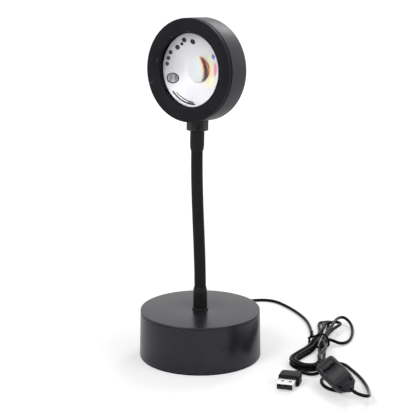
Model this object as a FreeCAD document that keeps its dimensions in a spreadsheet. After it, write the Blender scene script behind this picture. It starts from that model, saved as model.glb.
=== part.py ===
import FreeCAD, Part
import math
import os
import Sketcher

Vector = FreeCAD.Vector
Rotation = FreeCAD.Rotation
Placement = FreeCAD.Placement

doc = FreeCAD.newDocument("projection_lamp")
sheet = doc.addObject("Spreadsheet::Sheet", "sizes")
nodes = []
rows = []


# A length that knows its number and the words that a constraint is bound to.
class Size:
    def __init__(self, value, text):
        self.value = value
        self.text = text

    def __add__(self, other):
        other = as_size(other)
        return Size(self.value + other.value, f"({self.text} + {other.text})")

    def __sub__(self, other):
        other = as_size(other)
        return Size(self.value - other.value, f"({self.text} - {other.text})")

    def __mul__(self, factor):
        factor = as_size(factor)
        return Size(self.value * factor.value, f"({self.text} * {factor.text})")

    def __truediv__(self, factor):
        factor = as_size(factor)
        return Size(self.value / factor.value, f"({self.text} / {factor.text})")

    def __neg__(self):
        return Size(-self.value, f"(0 - {self.text})")


def as_size(item):
    if isinstance(item, Size):
        return item
    return Size(float(item), f"({float(item)})")


def size(alias, value):
    rows.append(alias)
    cell = f"A{len(rows)}"
    sheet.set(cell, str(value))
    sheet.setAlias(cell, alias)
    return Size(float(value), f"sizes.{alias}")


# Base
base_radius = size("base_radius", 45)
base_flare = size("base_flare", 0.8)
base_height = size("base_height", 36.5)
base_wall = size("base_wall", 1.5)
base_deck = size("base_deck", 2)
base_edge = size("base_edge", 0.5)
pad_thickness = size("pad_thickness", 0.8)
pad_inset = size("pad_inset", 1.8)
plate_thickness = size("plate_thickness", 1.5)
weight_thickness = size("weight_thickness", 8)
weight_hole_radius = size("weight_hole_radius", 16)
weight_slot_width = size("weight_slot_width", 9)
seat_gap = size("seat_gap", 0.2)
base_screw_circle = size("base_screw_circle", 26)
base_screw_radius = size("base_screw_radius", 1.5)
base_screw_length = size("base_screw_length", 5)
screw_head_radius = size("screw_head_radius", 2.7)
screw_head_height = size("screw_head_height", 0.7)
# Neck root and its fastening
stem_radius = size("stem_radius", 4.9)
stem_drop = size("stem_drop", 9.5)
thread_gap = size("thread_gap", 0.06)
wire_bore_radius = size("wire_bore_radius", 1.15)
wire_radius = size("wire_radius", 1.1)
wire_tail = size("wire_tail", 15)
lead_bend = size("lead_bend", 20)
lead_rise = size("lead_rise", 11)
lead_gap = size("lead_gap", 0.4)
stem_bore_radius = size("stem_bore_radius", 2)
flange_radius = size("flange_radius", 9)
flange_thickness = size("flange_thickness", 1.2)
nut_flats = size("nut_flats", 14)
nut_thickness = size("nut_thickness", 4.5)
collar_radius = size("collar_radius", 6.1)
collar_thickness = size("collar_thickness", 1.2)
ferrule_radius = size("ferrule_radius", 4.5)
ferrule_height = size("ferrule_height", 17.5)
sleeve_radius = size("sleeve_radius", 5.3)
sleeve_taper = size("sleeve_taper", 2.5)
# Gooseneck
neck_radius = size("neck_radius", 4.45)
neck_flex_length = size("neck_flex_length", 103.5)
neck_lean = size("neck_lean", -2.15)
neck_sway = size("neck_sway", 3)
ball_radius = size("ball_radius", 3.55)
cup_radius = size("cup_radius", 3.8)
link_gap = size("link_gap", 2)
neck_seat_gap = size("neck_seat_gap", 0.15)
# Head
head_yaw = size("head_yaw", -37)
head_pitch = size("head_pitch", -4.2)
head_roll = size("head_roll", -1.7)
top_ferrule_length = size("top_ferrule_length", 14.9)
hex_flats = size("hex_flats", 13.2)
hex_height = size("hex_height", 7)
nipple_radius = size("nipple_radius", 3.4)
nipple_length = size("nipple_length", 8.5)
head_radius = size("head_radius", 37.6)
head_depth = size("head_depth", 21.2)
head_wall = size("head_wall", 1.6)
head_back = size("head_back", 2)
head_edge = size("head_edge", 0.6)
hub_depth = size("hub_depth", 7.7)
head_nut_flats = size("head_nut_flats", 10.4)
head_nut_thickness = size("head_nut_thickness", 3)
ledge_height = size("ledge_height", 12)
ledge_width = size("ledge_width", 1.8)
bezel_band = size("bezel_band", 3.4)
bezel_skirt_wall = size("bezel_skirt_wall", 2.2)
opening_radius = size("opening_radius", 26.4)
opening_flare = size("opening_flare", 1.4)
opening_recess = size("opening_recess", 2.5)
lens_radius = size("lens_radius", 28.2)
lens_rim = size("lens_rim", 3.6)
lens_crown = size("lens_crown", 2.6)
gasket_thickness = size("gasket_thickness", 0.9)
gasket_width = size("gasket_width", 1.6)
holder_wall = size("holder_wall", 1.2)
holder_throat_radius = size("holder_throat_radius", 7)
vent_radius = size("vent_radius", 0.9)
vent_circle = size("vent_circle", 21)
film_thickness = size("film_thickness", 0.8)
board_radius = size("board_radius", 10)
board_thickness = size("board_thickness", 1.6)
pedestal_radius = size("pedestal_radius", 13)
pedestal_height = size("pedestal_height", 1.2)
chip_width = size("chip_width", 4)
chip_height = size("chip_height", 0.7)
dome_radius = size("dome_radius", 2)
board_screw_circle = size("board_screw_circle", 5)
board_screw_radius = size("board_screw_radius", 1)
board_head_radius = size("board_head_radius", 1.6)
board_head_height = size("board_head_height", 1)
set_screw_radius = size("set_screw_radius", 1.5)
# Cord and what is on it
cord_diameter = size("cord_diameter", 2.5)
grommet_height = size("grommet_height", 7)
grommet_length = size("grommet_length", 12)
grommet_radius = size("grommet_radius", 3)
grommet_flange_radius = size("grommet_flange_radius", 3.9)
grommet_flange_thickness = size("grommet_flange_thickness", 1)
switch_length = size("switch_length", 42.4)
switch_width = size("switch_width", 16)
switch_height = size("switch_height", 8.5)
switch_split = size("switch_split", 4.5)
switch_wall = size("switch_wall", 1.4)
switch_corner = size("switch_corner", 3.5)
switch_slope = size("switch_slope", 8)
button_length = size("button_length", 10.5)
button_width = size("button_width", 4.2)
button_proud = size("button_proud", 1.2)
button_place = size("button_place", 30.4)
button_gap = size("button_gap", 0.25)
relief_length = size("relief_length", 5)
cord_socket = size("cord_socket", 0.6)
relief_radius = size("relief_radius", 2.6)
plug_width = size("plug_width", 15.5)
plug_height = size("plug_height", 8)
plug_length = size("plug_length", 12)
plug_corner = size("plug_corner", 1.5)
shell_width = size("shell_width", 12)
shell_height = size("shell_height", 4.5)
shell_length = size("shell_length", 12)
shell_wall = size("shell_wall", 0.3)
tongue_height = size("tongue_height", 1.9)
plug_relief_length = size("plug_relief_length", 2.5)
tie_radius = size("tie_radius", 0.55)


def bind(item, name, length):
    item.setExpression(name, as_size(length).text)


def keep(item, label, place=None):
    if place is not None and item.TypeId in ("Part::Cylinder", "Part::Box"):
        piece = item
        item = doc.addObject("Part::Compound", "piece")
        item.Links = [piece]
    item.Label = label
    if place is not None:
        item.Placement = place
    nodes.append(item)
    return item


def raise_by(item, x, y, z):
    bind(item, "Placement.Base.x", x)
    bind(item, "Placement.Base.y", y)
    bind(item, "Placement.Base.z", z)
    return item


def cylinder(radius, height, x=0, y=0, z=0):
    item = doc.addObject("Part::Cylinder", "round")
    bind(item, "Radius", radius)
    bind(item, "Height", height)
    return raise_by(item, x, y, z)


def cone(bottom_radius, top_radius, height, z=0):
    item = doc.addObject("Part::Cone", "taper")
    bind(item, "Radius1", bottom_radius)
    bind(item, "Radius2", top_radius)
    bind(item, "Height", height)
    return raise_by(item, 0, 0, z)


def sphere(radius, z=0):
    item = doc.addObject("Part::Sphere", "ball")
    bind(item, "Radius", radius)
    return raise_by(item, 0, 0, z)


def block(length, width, height, x=0, y=0, z=0):
    item = doc.addObject("Part::Box", "block")
    bind(item, "Length", length)
    bind(item, "Width", width)
    bind(item, "Height", height)
    return raise_by(item, x, y, z)


def hexagon(flats, height, z=0):
    item = doc.addObject("Part::Prism", "hexagon")
    item.Polygon = 6
    bind(item, "Circumradius", as_size(flats) / math.sqrt(3))
    bind(item, "Height", height)
    return raise_by(item, 0, 0, z)


def fuse(*items):
    item = doc.addObject("Part::MultiFuse", "joined")
    item.Shapes = list(items)
    return item


def cut(base, *tools):
    item = doc.addObject("Part::Cut", "cut")
    item.Base = base
    item.Tool = tools[0] if len(tools) == 1 else fuse(*tools)
    return item


def common(first, second):
    item = doc.addObject("Part::Common", "shared")
    item.Base = first
    item.Tool = second
    return item


def free(item):
    for name in ("Placement.Base.x", "Placement.Base.y", "Placement.Base.z"):
        item.setExpression(name, None)
    return item


def turn(item, axis, degrees):
    item.Placement = Placement(item.Placement.Base, Rotation(axis, degrees))
    return item


def ring_of(count, make, circle, start=0.0):
    made = []
    for index in range(count):
        angle = math.radians(start + 360.0 * index / count)
        made.append(make(as_size(circle) * math.cos(angle), as_size(circle) * math.sin(angle)))
    return made


# A closed outline whose corners are all held by the sheet's lengths.
def outline(body, plane, corners):
    sketch = body.newObject("Sketcher::SketchObject", "outline")
    support = [item for item in body.Origin.OriginFeatures if item.Role == plane][0]
    sketch.AttachmentSupport = [(support, "")]
    sketch.MapMode = "FlatFace"
    spots = [Vector(as_size(x).value, as_size(y).value, 0) for x, y in corners]
    for index in range(len(spots)):
        sketch.addGeometry(Part.LineSegment(spots[index], spots[(index + 1) % len(spots)]))
    for index in range(len(spots)):
        sketch.addConstraint(Sketcher.Constraint("Coincident", index, 2, (index + 1) % len(spots), 1))
    for index, (x, y) in enumerate(corners):
        for kind, length, axis in (("DistanceX", as_size(x), -2), ("DistanceY", as_size(y), -1)):
            if abs(length.value) < 1e-9:
                sketch.addConstraint(Sketcher.Constraint("PointOnObject", index, 1, axis))
                continue
            number = sketch.addConstraint(Sketcher.Constraint(kind, -1, 1, index, 1, length.value))
            sketch.setExpression(f"Constraints[{number}]", length.text)
    return sketch


def turned(corners):
    body = doc.addObject("PartDesign::Body", "turned")
    sketch = outline(body, "XZ_Plane", corners)
    feature = body.newObject("PartDesign::Revolution", "revolution")
    feature.Profile = sketch
    feature.ReferenceAxis = (sketch, ["V_Axis"])
    feature.Angle = 360
    return body


def padded(corners, height):
    body = doc.addObject("PartDesign::Body", "padded")
    sketch = outline(body, "XY_Plane", corners)
    feature = body.newObject("PartDesign::Pad", "pad")
    feature.Profile = sketch
    bind(feature, "Length", height)
    return body


# Base: a deep-drawn cup with a plate, weight and pad inside and below it.
base_foot_radius = base_radius + base_flare
plate_bottom = pad_thickness
plate_top = pad_thickness + plate_thickness
deck_under = base_height - base_deck
weight_radius = base_radius - base_wall - seat_gap
inner_bottom_radius = base_foot_radius - base_wall
grommet_seat = base_foot_radius - base_wall * 2


def rear_hole(radius):
    hole = cylinder(radius, base_foot_radius, 0, 0, grommet_height)
    return turn(hole, Vector(1, 0, 0), -90)


def base_shell():
    cup = turned([
        (stem_radius + seat_gap / 2, base_height),
        (base_radius - base_edge, base_height),
        (base_radius, base_height - base_edge),
        (base_foot_radius, plate_bottom),
        (inner_bottom_radius, plate_bottom),
        (base_radius - base_wall, deck_under),
        (stem_radius + seat_gap / 2, deck_under),
    ])
    keep(cut(cup, rear_hole(grommet_radius + seat_gap / 2)), "base_shell")


def base_plate():
    def screw_hole(x, y):
        bore = cylinder(base_screw_radius + seat_gap, base_height, x, y)
        sink = cylinder(screw_head_radius + seat_gap, plate_bottom + screw_head_height, x, y)
        return fuse(bore, sink)
    disc = cylinder(inner_bottom_radius - seat_gap * 1.5, plate_thickness, 0, 0, plate_bottom)
    keep(cut(disc, *ring_of(3, screw_hole, base_screw_circle, 30)), "base_plate")


def base_weight():
    disc = cylinder(weight_radius, weight_thickness, 0, 0, plate_top)
    eye = cylinder(weight_hole_radius, base_height)
    slot = block(weight_slot_width, base_foot_radius, base_height, -weight_slot_width / 2)
    holes = ring_of(3, lambda x, y: cylinder(base_screw_radius + seat_gap / 4, base_height, x, y),
                    base_screw_circle, 30)
    keep(cut(disc, eye, slot, *holes), "base_weight")


def base_screws():
    def screw(x, y):
        head = cylinder(screw_head_radius, screw_head_height, x, y, plate_bottom)
        shank = cylinder(base_screw_radius, base_screw_length, x, y, plate_bottom)
        return fuse(head, shank)
    group = doc.addObject("Part::Compound", "screws")
    group.Links = ring_of(3, screw, base_screw_circle, 30)
    keep(group, "base_screws")


def foot_pad():
    keep(cylinder(base_foot_radius - pad_inset, pad_thickness), "foot_pad")


def cord_grommet():
    inner = grommet_seat - grommet_flange_thickness
    plug = cylinder(grommet_radius, base_wall * 3 + grommet_flange_thickness, 0, 0, inner)
    flange = cylinder(grommet_flange_radius, grommet_flange_thickness, 0, 0, inner)
    tail = cone(grommet_radius, cord_diameter * 0.75, grommet_length, inner + base_wall * 3)
    bore = cylinder(cord_diameter / 2 + seat_gap / 2, grommet_length * 2, 0, 0, inner)
    body = cut(fuse(plug, flange, tail), bore)
    place = Placement(Vector(0, 0, grommet_height.value), Rotation(Vector(1, 0, 0), -90))
    keep(body, "cord_grommet", place)


# Neck root: threaded stem, washer, nut, collar, ferrule and shrink sleeve.
ferrule_top = base_height + ferrule_height


def stem_bore(bottom, height):
    return cylinder(stem_bore_radius, height, 0, 0, bottom)


def lower_ferrule():
    stem = cylinder(stem_radius, stem_drop + collar_thickness, 0, 0, base_height - stem_drop)
    tube = cylinder(ferrule_radius, ferrule_height, 0, 0, base_height)
    bore = stem_bore(base_height - stem_drop, ferrule_height + stem_drop)
    keep(cut(fuse(stem, tube), bore), "lower_ferrule")


def round_washer(outer, inner, height, z):
    return cut(cylinder(outer, height, 0, 0, z), cylinder(inner, height, 0, 0, z))


def neck_fastening():
    loose = stem_radius + thread_gap
    flange_bottom = deck_under - flange_thickness
    flange = cylinder(flange_radius, flange_thickness, 0, 0, flange_bottom)
    hexed = hexagon(nut_flats, nut_thickness, flange_bottom - nut_thickness)
    keep(cut(fuse(hexed, flange), cylinder(loose, base_height)), "stem_nut")
    keep(round_washer(collar_radius, loose, collar_thickness, base_height), "foot_collar")


def shrink_sleeve(label, length, place, flip):
    inside = ferrule_radius + thread_gap
    full = length - sleeve_taper
    corners = [(inside, 0), (sleeve_radius, 0), (sleeve_radius, full), (inside + 0.1, length),
               (inside, length)]
    if flip:
        corners = [(x, length - as_size(z)) for x, z in reversed(corners)]
    keep(turned(corners), label, place)


# Gooseneck: the joint centres lie on one curve from the upright foot to the tilted head.
joint_count = 8
head_turn = Rotation(Vector(0, 0, 1), head_yaw.value) * Rotation(Vector(1, 0, 0), head_pitch.value)
head_turn = head_turn * Rotation(Vector(0, 1, 0), head_roll.value)
head_up = head_turn.multVec(Vector(0, 0, 1))
neck_start = Vector(0, 0, ferrule_top.value)
neck_end = neck_start + Vector(neck_lean.value, neck_sway.value, neck_flex_length.value)


def neck_point(share):
    length = neck_flex_length.value
    first = Vector(0, 0, length)
    last = head_up * length
    a = 2 * share ** 3 - 3 * share ** 2 + 1
    b = share ** 3 - 2 * share ** 2 + share
    c = -2 * share ** 3 + 3 * share ** 2
    d = share ** 3 - share ** 2
    return neck_start * a + first * b + neck_end * c + last * d


joints = [neck_point((index + 0.5) / joint_count) for index in range(joint_count)]


def along(start, end):
    return Placement(start, Rotation(Vector(0, 0, 1), end - start))


def ball_end(length):
    body = cylinder(neck_radius, as_size(length) - link_gap)
    return fuse(body, sphere(ball_radius, length))


def neck_root():
    length = (joints[0] - neck_start).Length
    seat = cylinder(neck_radius + 1, neck_seat_gap)
    body = cut(ball_end(length), cylinder(wire_bore_radius, length + 10), seat)
    keep(body, "neck_root", along(neck_start, joints[0]))


def neck_link(index):
    start = joints[index]
    end = joints[index + 1]
    length = (end - start).Length
    body = cut(ball_end(length), sphere(cup_radius), cylinder(wire_bore_radius, length + 10))
    keep(body, f"neck_link_{index + 1}", along(start, end))


def neck_crown():
    length = (neck_end - joints[-1]).Length
    tube_body = cylinder(neck_radius, as_size(length) - neck_seat_gap)
    body = cut(tube_body, sphere(cup_radius), cylinder(wire_bore_radius, length))
    keep(body, "neck_crown", along(joints[-1], neck_end))


def wire_piece(label, start, end, lower, upper):
    length = (end - start).Length
    piece = cylinder(wire_radius, as_size(length) + upper - lower)
    free(piece)
    place = along(start, end)
    place.Base = place.multVec(Vector(0, 0, as_size(lower).value))
    keep(piece, label, place)


def neck_wires():
    inside_ball = ball_radius - 0.95
    past_ball = ball_radius + 0.2
    wire_piece("neck_wire_0", neck_start, joints[0], -wire_tail, inside_ball)
    for index in range(joint_count - 1):
        wire_piece(f"neck_wire_{index + 1}", joints[index], joints[index + 1], past_ball, inside_ball)
    wire_piece(f"neck_wire_{joint_count}", joints[-1], neck_end, past_ball,
               top_ferrule_length + 7.9)


# Head: every piece is made in the frame of the fitting or of the optical axis.
fitting_base = neck_end + head_up * top_ferrule_length.value
fitting_place = Placement(fitting_base, head_turn)
axis_height = hex_height + head_radius
optical_local = Placement(Vector(0, hub_depth.value, axis_height.value), Rotation(Vector(1, 0, 0), 90))
optical_place = fitting_place.multiply(optical_local)
bezel_seam = head_depth - bezel_band
lip_under = head_depth - opening_recess
holder_seat = ledge_height + holder_wall
lens_back = holder_seat + gasket_thickness


def head_barrel(radius):
    barrel = free(cylinder(radius, head_depth * 2))
    barrel.Placement = Placement(Vector(0, head_depth.value, axis_height.value),
                                 Rotation(Vector(1, 0, 0), 90))
    return barrel


def hex_fitting():
    tall = hexagon(hex_flats, hex_height + 1.2)
    saddle = cut(tall, head_barrel(head_radius + 0.02))
    nipple = cylinder(nipple_radius, nipple_length + 1, 0, 0, hex_height - 1)
    bore = cylinder(stem_bore_radius, hex_height + nipple_length)
    screw_hole = free(cylinder(set_screw_radius + 0.05, hex_flats))
    screw_hole.Placement = Placement(Vector(0, 0, hex_height.value / 2), set_screw_turn)
    keep(cut(fuse(saddle, nipple), bore, screw_hole), "hex_fitting", fitting_place)


set_screw_turn = Rotation(Vector(0, 0, 1), 60) * Rotation(Vector(1, 0, 0), 90)


def set_screw():
    length = hex_flats / 2 - stem_bore_radius - 0.2
    screw = cylinder(set_screw_radius, length)
    socket = hexagon(set_screw_radius, 1, length - 1)
    seat = Placement(Vector(0, 0, hex_height.value / 2), set_screw_turn)
    seat.Base = seat.multVec(Vector(0, 0, stem_bore_radius.value + 0.2))
    keep(cut(screw, socket), "set_screw", fitting_place.multiply(seat))


def top_ferrule():
    tube = cylinder(ferrule_radius, top_ferrule_length)
    bore = cylinder(stem_bore_radius, top_ferrule_length)
    keep(cut(tube, bore), "upper_ferrule", Placement(neck_end, head_turn))


# Head pieces turned about the optical axis, measured forward from the back face.
ring_wall_inner = head_radius - head_wall
ledge_inner = ring_wall_inner - ledge_width
skirt_outer = ring_wall_inner - 0.2
skirt_inner = skirt_outer - bezel_skirt_wall
skirt_end = holder_seat + 0.05
dish_inner_edge = opening_radius - 0.4
lens_pocket = lens_radius + 0.3


def hub_tool(radius, bottom, height):
    tool = free(cylinder(radius, height))
    low = Placement(Vector(0, 0, as_size(bottom).value), Rotation())
    tool.Placement = optical_local.inverse().multiply(low)
    return tool


def hub_block(width, depth, height, y, z):
    tool = free(block(width, depth, height))
    corner = Placement(Vector(-as_size(width).value / 2, as_size(y).value, as_size(z).value), Rotation())
    tool.Placement = optical_local.inverse().multiply(corner)
    return tool


def head_housing():
    can = turned([
        (0, 0),
        (head_radius - head_edge, 0),
        (head_radius, head_edge),
        (head_radius, bezel_seam),
        (ring_wall_inner, bezel_seam),
        (ring_wall_inner, ledge_height),
        (ledge_inner, ledge_height),
        (ledge_inner, head_back),
        (pedestal_radius, head_back),
        (pedestal_radius, head_back + pedestal_height),
        (0, head_back + pedestal_height),
    ])
    inside = ledge_height - head_back + 0.5
    pad_top = hex_height + head_radius - ledge_inner + 0.9
    pad = hub_block(16, inside, pad_top - hex_height - 1, hub_depth - ledge_height, hex_height + 1)
    hole = hub_tool(nipple_radius + seat_gap / 2, 0, hex_height * 3)
    screws = ring_of(2, lambda x, y: cylinder(board_screw_radius + 0.05, head_depth, x, y, 1),
                     board_screw_circle, 40)
    keep(cut(fuse(can, pad), hole, *screws), "head_housing", optical_place)


def head_lock_nut():
    nut = hexagon(head_nut_flats, head_nut_thickness, hex_height + head_radius - ledge_inner + 0.9)
    keep(cut(nut, cylinder(nipple_radius + thread_gap, head_radius)), "head_lock_nut", fitting_place)


def light_engine():
    foot = head_back + pedestal_height
    top = foot + board_thickness
    def board_hole(x, y):
        return cylinder(board_screw_radius + 0.2, head_depth, x, y)
    board = cut(cylinder(board_radius, board_thickness, 0, 0, foot),
                *ring_of(2, board_hole, board_screw_circle, 40))
    keep(board, "led_board", optical_place)
    chip = block(chip_width, chip_width, chip_height, -chip_width / 2, -chip_width / 2, top)
    dome_top = top + chip_height - 0.1
    dome = common(sphere(dome_radius, dome_top - 1.2), block(9, 9, 9, -4.5, -4.5, dome_top))
    keep(fuse(chip, dome), "led_chip", optical_place)

    def board_screw(x, y):
        head = cylinder(board_head_radius, board_head_height, x, y, top)
        shank = cylinder(board_screw_radius, top - 1.4, x, y, 1.4)
        return fuse(head, shank)
    group = doc.addObject("Part::Compound", "screws")
    group.Links = ring_of(2, board_screw, board_screw_circle, 40)
    keep(group, "board_screws", optical_place)


def lens_holder():
    throat = ledge_height - 6.4
    dish = turned([
        (holder_throat_radius, throat),
        (dish_inner_edge, ledge_height + 0.4),
        (dish_inner_edge, holder_seat + 0.4),
        (lens_pocket, holder_seat + 0.4),
        (lens_pocket, bezel_seam - 0.2),
        (lens_pocket + holder_wall, bezel_seam - 0.2),
        (lens_pocket + holder_wall, holder_seat),
        (ring_wall_inner - 0.2, holder_seat),
        (ring_wall_inner - 0.2, ledge_height),
        (dish_inner_edge + holder_wall, ledge_height),
        (holder_throat_radius + 1, throat - 0.7),
    ])
    tools = []
    for index in range(5):
        angle = math.radians(128 + 13 * index)
        x = vent_circle * math.cos(angle)
        y = vent_circle * math.sin(angle)
        tools.append(cylinder(vent_radius, head_depth, x, y))
    notch_y = hub_depth - holder_seat - 0.5
    tools.append(hub_block(15, 4, 16, notch_y, -0.5))
    keep(cut(dish, *tools), "lens_holder", optical_place)


def film_and_gasket():
    seat = ledge_height - 5.55
    film = cylinder(holder_throat_radius + 2.2, film_thickness, 0, 0, seat)
    keep(film, "colour_filter", optical_place)
    inner = lens_radius - gasket_width
    keep(round_washer(lens_radius - 0.05, inner, gasket_thickness, holder_seat + 0.4),
         "lens_gasket", optical_place)


def lens():
    back = lens_back + 0.4
    rim_top = back + lens_rim
    top = rim_top + lens_crown
    crown_radius = (lens_radius * lens_radius / lens_crown + lens_crown) / 2
    puck = cylinder(lens_radius, lens_rim + lens_crown, 0, 0, back)
    ball = sphere(crown_radius, top - crown_radius)
    keep(common(puck, ball), "lens", optical_place)


def front_bezel():
    ring = turned([
        (opening_radius + opening_flare, head_depth),
        (head_radius - head_edge, head_depth),
        (head_radius, head_depth - head_edge),
        (head_radius, bezel_seam),
        (skirt_outer, bezel_seam),
        (skirt_outer, skirt_end),
        (skirt_inner, skirt_end),
        (skirt_inner, lip_under),
        (opening_radius, lip_under),
    ])
    keep(ring, "front_bezel", optical_place)


# In-line switch: lies askew on one lower edge, over the cord.
switch_far = Vector(-0.312, 0.95, 0.03).normalize()
switch_side = Vector(0, 0, 1).cross(switch_far).normalize()
switch_level = switch_far.cross(switch_side)
switch_corner_point = Vector(99.9, -95, 2.7)
level_place = Placement(FreeCAD.Matrix(
    switch_far.x, switch_side.x, switch_level.x, switch_corner_point.x,
    switch_far.y, switch_side.y, switch_level.y, switch_corner_point.y,
    switch_far.z, switch_side.z, switch_level.z, switch_corner_point.z,
    0, 0, 0, 1))
switch_place = level_place.multiply(Placement(Vector(0, 0, 0), Rotation(Vector(1, 0, 0), -36)))
switch_middle = switch_width / 2


def rounded_block(length, width, height, corner, x, y, z):
    inner_length = as_size(length) - as_size(corner) * 2
    inner_width = as_size(width) - as_size(corner) * 2
    core = block(inner_length, width, height, as_size(x) + corner, y, z)
    side = block(length, inner_width, height, x, as_size(y) + corner, z)
    posts = []
    for near in (0, 1):
        for low in (0, 1):
            px = as_size(x) + corner + inner_length * near
            py = as_size(y) + corner + inner_width * low
            posts.append(cylinder(corner, height, px, py, z))
    return fuse(core, side, *posts)


def hollow(bottom, height):
    return rounded_block(switch_length - switch_wall * 2, switch_width - switch_wall * 2, height,
                         switch_corner - switch_wall, switch_wall, -switch_width + switch_wall, bottom)


def switch_halves():
    lower = rounded_block(switch_length, switch_width, switch_split, switch_corner, 0, -switch_width, 0)
    slope = block(switch_slope * 2, switch_width * 2, 6, -4.13, -switch_width * 1.5, -1.19)
    slope = turn(slope, Vector(0, 1, 0), 26)
    keep(cut(lower, hollow(switch_wall + 1.2, switch_split), slope), "switch_lower", switch_place)
    top_height = switch_height - switch_split
    upper = rounded_block(switch_length, switch_width, top_height, switch_corner, 0, -switch_width,
                          switch_split)
    ridge = block(1, switch_width - 5, 1, 3.4, -switch_width + 2.5, switch_height - 0.6)
    slot = block(button_width, button_length, switch_height, button_place - button_width / 2,
                 -switch_middle - button_length / 2, switch_split)
    keep(cut(fuse(upper, ridge), hollow(switch_split, top_height - switch_wall), slot),
         "switch_upper", switch_place)


def switch_inside():
    floor = switch_wall + 1.2
    board = block(20, 10, 0.8, button_place - 10, -switch_middle - 5, floor)
    can = block(4, 4, 0.9, button_place - 2, -switch_middle - 2, floor + 0.8)
    keep(fuse(board, can), "switch_board", switch_place)


def switch_button():
    cap_length = button_length - button_gap * 2
    cap_width = button_width - button_gap * 2
    under = switch_height - switch_wall
    cap = block(cap_width, cap_length, switch_wall + button_proud + 0.2, button_place - cap_width / 2,
                -switch_middle - cap_length / 2, under - 0.2)
    flange = block(cap_width + 1.6, cap_length + 1.2, 0.8, button_place - cap_width / 2 - 0.8,
                   -switch_middle - cap_length / 2 - 0.6, under - 0.85)
    keep(fuse(cap, flange), "switch_button", switch_place)


def ribbed_relief(label, start, direction):
    bore = cord_diameter / 2 + 0.05
    corners = [(0, 0), (4, 0)]
    for index in range(3):
        rib = as_size(4 - 0.55 * index)
        z = relief_length * (0.22 + 0.24 * index)
        corners.append((rib, z - relief_length * 0.08))
        corners.append((rib - 0.9, z - relief_length * 0.04))
        corners.append((rib - 0.9, z + relief_length * 0.06))
    corners.append((2.1, relief_length * 0.8))
    corners.append((1.9, relief_length))
    corners.append((bore, relief_length))
    corners.append((bore, relief_length - cord_socket))
    corners.append((0, relief_length - cord_socket))
    place = switch_place.multiply(Placement(start, Rotation(Vector(0, 0, 1), direction)))
    keep(turned(corners), label, place)


def switch_point(x, y, z):
    return switch_place.multVec(Vector(x, y, z))


# Plug: lies flat beside the hank, its opening towards the front left.
plug_turn = Rotation(Vector(0, 0, 1), math.degrees(math.atan2(-0.96, -0.28)))
plug_place = Placement(Vector(63.5, -65.6, plug_height.value / 2), plug_turn)


def plug_pieces():
    half = plug_width / 2
    mold = rounded_block(plug_length, plug_width, plug_height, plug_corner, -plug_length, -half,
                         -plug_height / 2)
    seat = block(4, shell_width, shell_height, -4, -shell_width / 2, -shell_height / 2)
    keep(cut(mold, seat), "usb_overmold", plug_place)

    outer = block(shell_length + 4, shell_width, shell_height, -4, -shell_width / 2, -shell_height / 2)
    inner = block(shell_length + 6, shell_width - shell_wall * 2, shell_height - shell_wall * 2, -5,
                  -shell_width / 2 + shell_wall, -shell_height / 2 + shell_wall)
    windows = [block(2.2, 2.2, 2, 5.2, side, shell_height / 2 - 1) for side in (-3.9, 1.7)]
    keep(cut(outer, inner, *windows), "usb_shell", plug_place)

    tongue_width = shell_width - shell_wall * 2 - 0.1
    lowest = -shell_height / 2 + shell_wall + 0.05
    tongue = block(shell_length + 2.4, tongue_width, tongue_height, -3.4, -tongue_width / 2, lowest)
    root = block(3, tongue_width, shell_height - shell_wall * 2 - 0.1, -3.4, -tongue_width / 2, lowest)
    keep(fuse(tongue, root), "usb_tongue", plug_place)

    group = doc.addObject("Part::Compound", "contacts")
    group.Links = [block(7.5, 1, 0.2, 0.5, side, lowest + tongue_height) for side in (-4, -1.5, 0.5, 3)]
    keep(group, "usb_contacts", plug_place)

    socket = cylinder(cord_diameter / 2 + 0.05, cord_socket, 0, 0, plug_relief_length - cord_socket)
    relief = cut(cone(2.9, 1.9, plug_relief_length), socket)
    back = Placement(Vector(-plug_length.value, 0, 0), Rotation(Vector(0, 1, 0), -90))
    keep(relief, "plug_relief", plug_place.multiply(back))


def plug_point(x, y, z):
    return plug_place.multVec(Vector(x, y, z))


# Cord: each run is straight and each corner is one arc that meets both runs smoothly.
def arc_edge(start, tangent, end):
    chord = end - start
    across = chord - tangent * chord.dot(tangent)
    if across.Length < 1e-4 * chord.Length:
        return Part.LineSegment(start, end).toShape(), 1e9
    radius = chord.dot(chord) / (2 * across.Length)
    centre = start + across.normalize() * radius
    out = (start + end) * 0.5 - centre
    return Part.Arc(start, centre + out.normalize() * radius, end).toShape(), radius


def rounded_path(points):
    edges = []
    radii = []
    start = points[0]
    for index in range(1, len(points) - 1):
        corner = points[index]
        back = points[index - 1] - corner
        ahead = points[index + 1] - corner
        trim = 0.45 * min(back.Length, ahead.Length)
        enter = corner + back.normalize() * trim
        leave = corner + ahead.normalize() * trim
        edges.append(Part.LineSegment(start, enter).toShape())
        edge, radius = arc_edge(enter, (corner - enter).normalize(), leave)
        edges.append(edge)
        radii.append(radius)
        start = leave
    edges.append(Part.LineSegment(start, points[-1]).toShape())
    return edges, radii


def biarc_path(points, first, last):
    tangents = [first]
    for index in range(1, len(points) - 1):
        level = points[index + 1] - points[index - 1]
        tangents.append(Vector(level.x, level.y, 0).normalize())
    tangents.append(last)
    edges = []
    radii = []
    for index in range(len(points) - 1):
        start = points[index]
        end = points[index + 1]
        enter = tangents[index]
        leave = tangents[index + 1]
        chord = end - start
        both = chord.dot(enter + leave)
        spread = 2 * (1 - enter.dot(leave))
        if spread < 1e-9:
            reach = chord.dot(chord) / (2 * both)
        else:
            reach = (math.sqrt(both * both + spread * chord.dot(chord)) - both) / spread
        middle = (start + end + (enter - leave) * reach) * 0.5
        one, radius_one = arc_edge(start, enter, middle)
        mid_chord = middle - start
        turn_side = mid_chord.normalize()
        mid_tangent = turn_side * (2 * enter.dot(turn_side)) - enter
        two, radius_two = arc_edge(middle, mid_tangent.normalize(), end)
        edges += [one, two]
        radii += [radius_one, radius_two]
    return edges, radii


centrelines = {}


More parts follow.
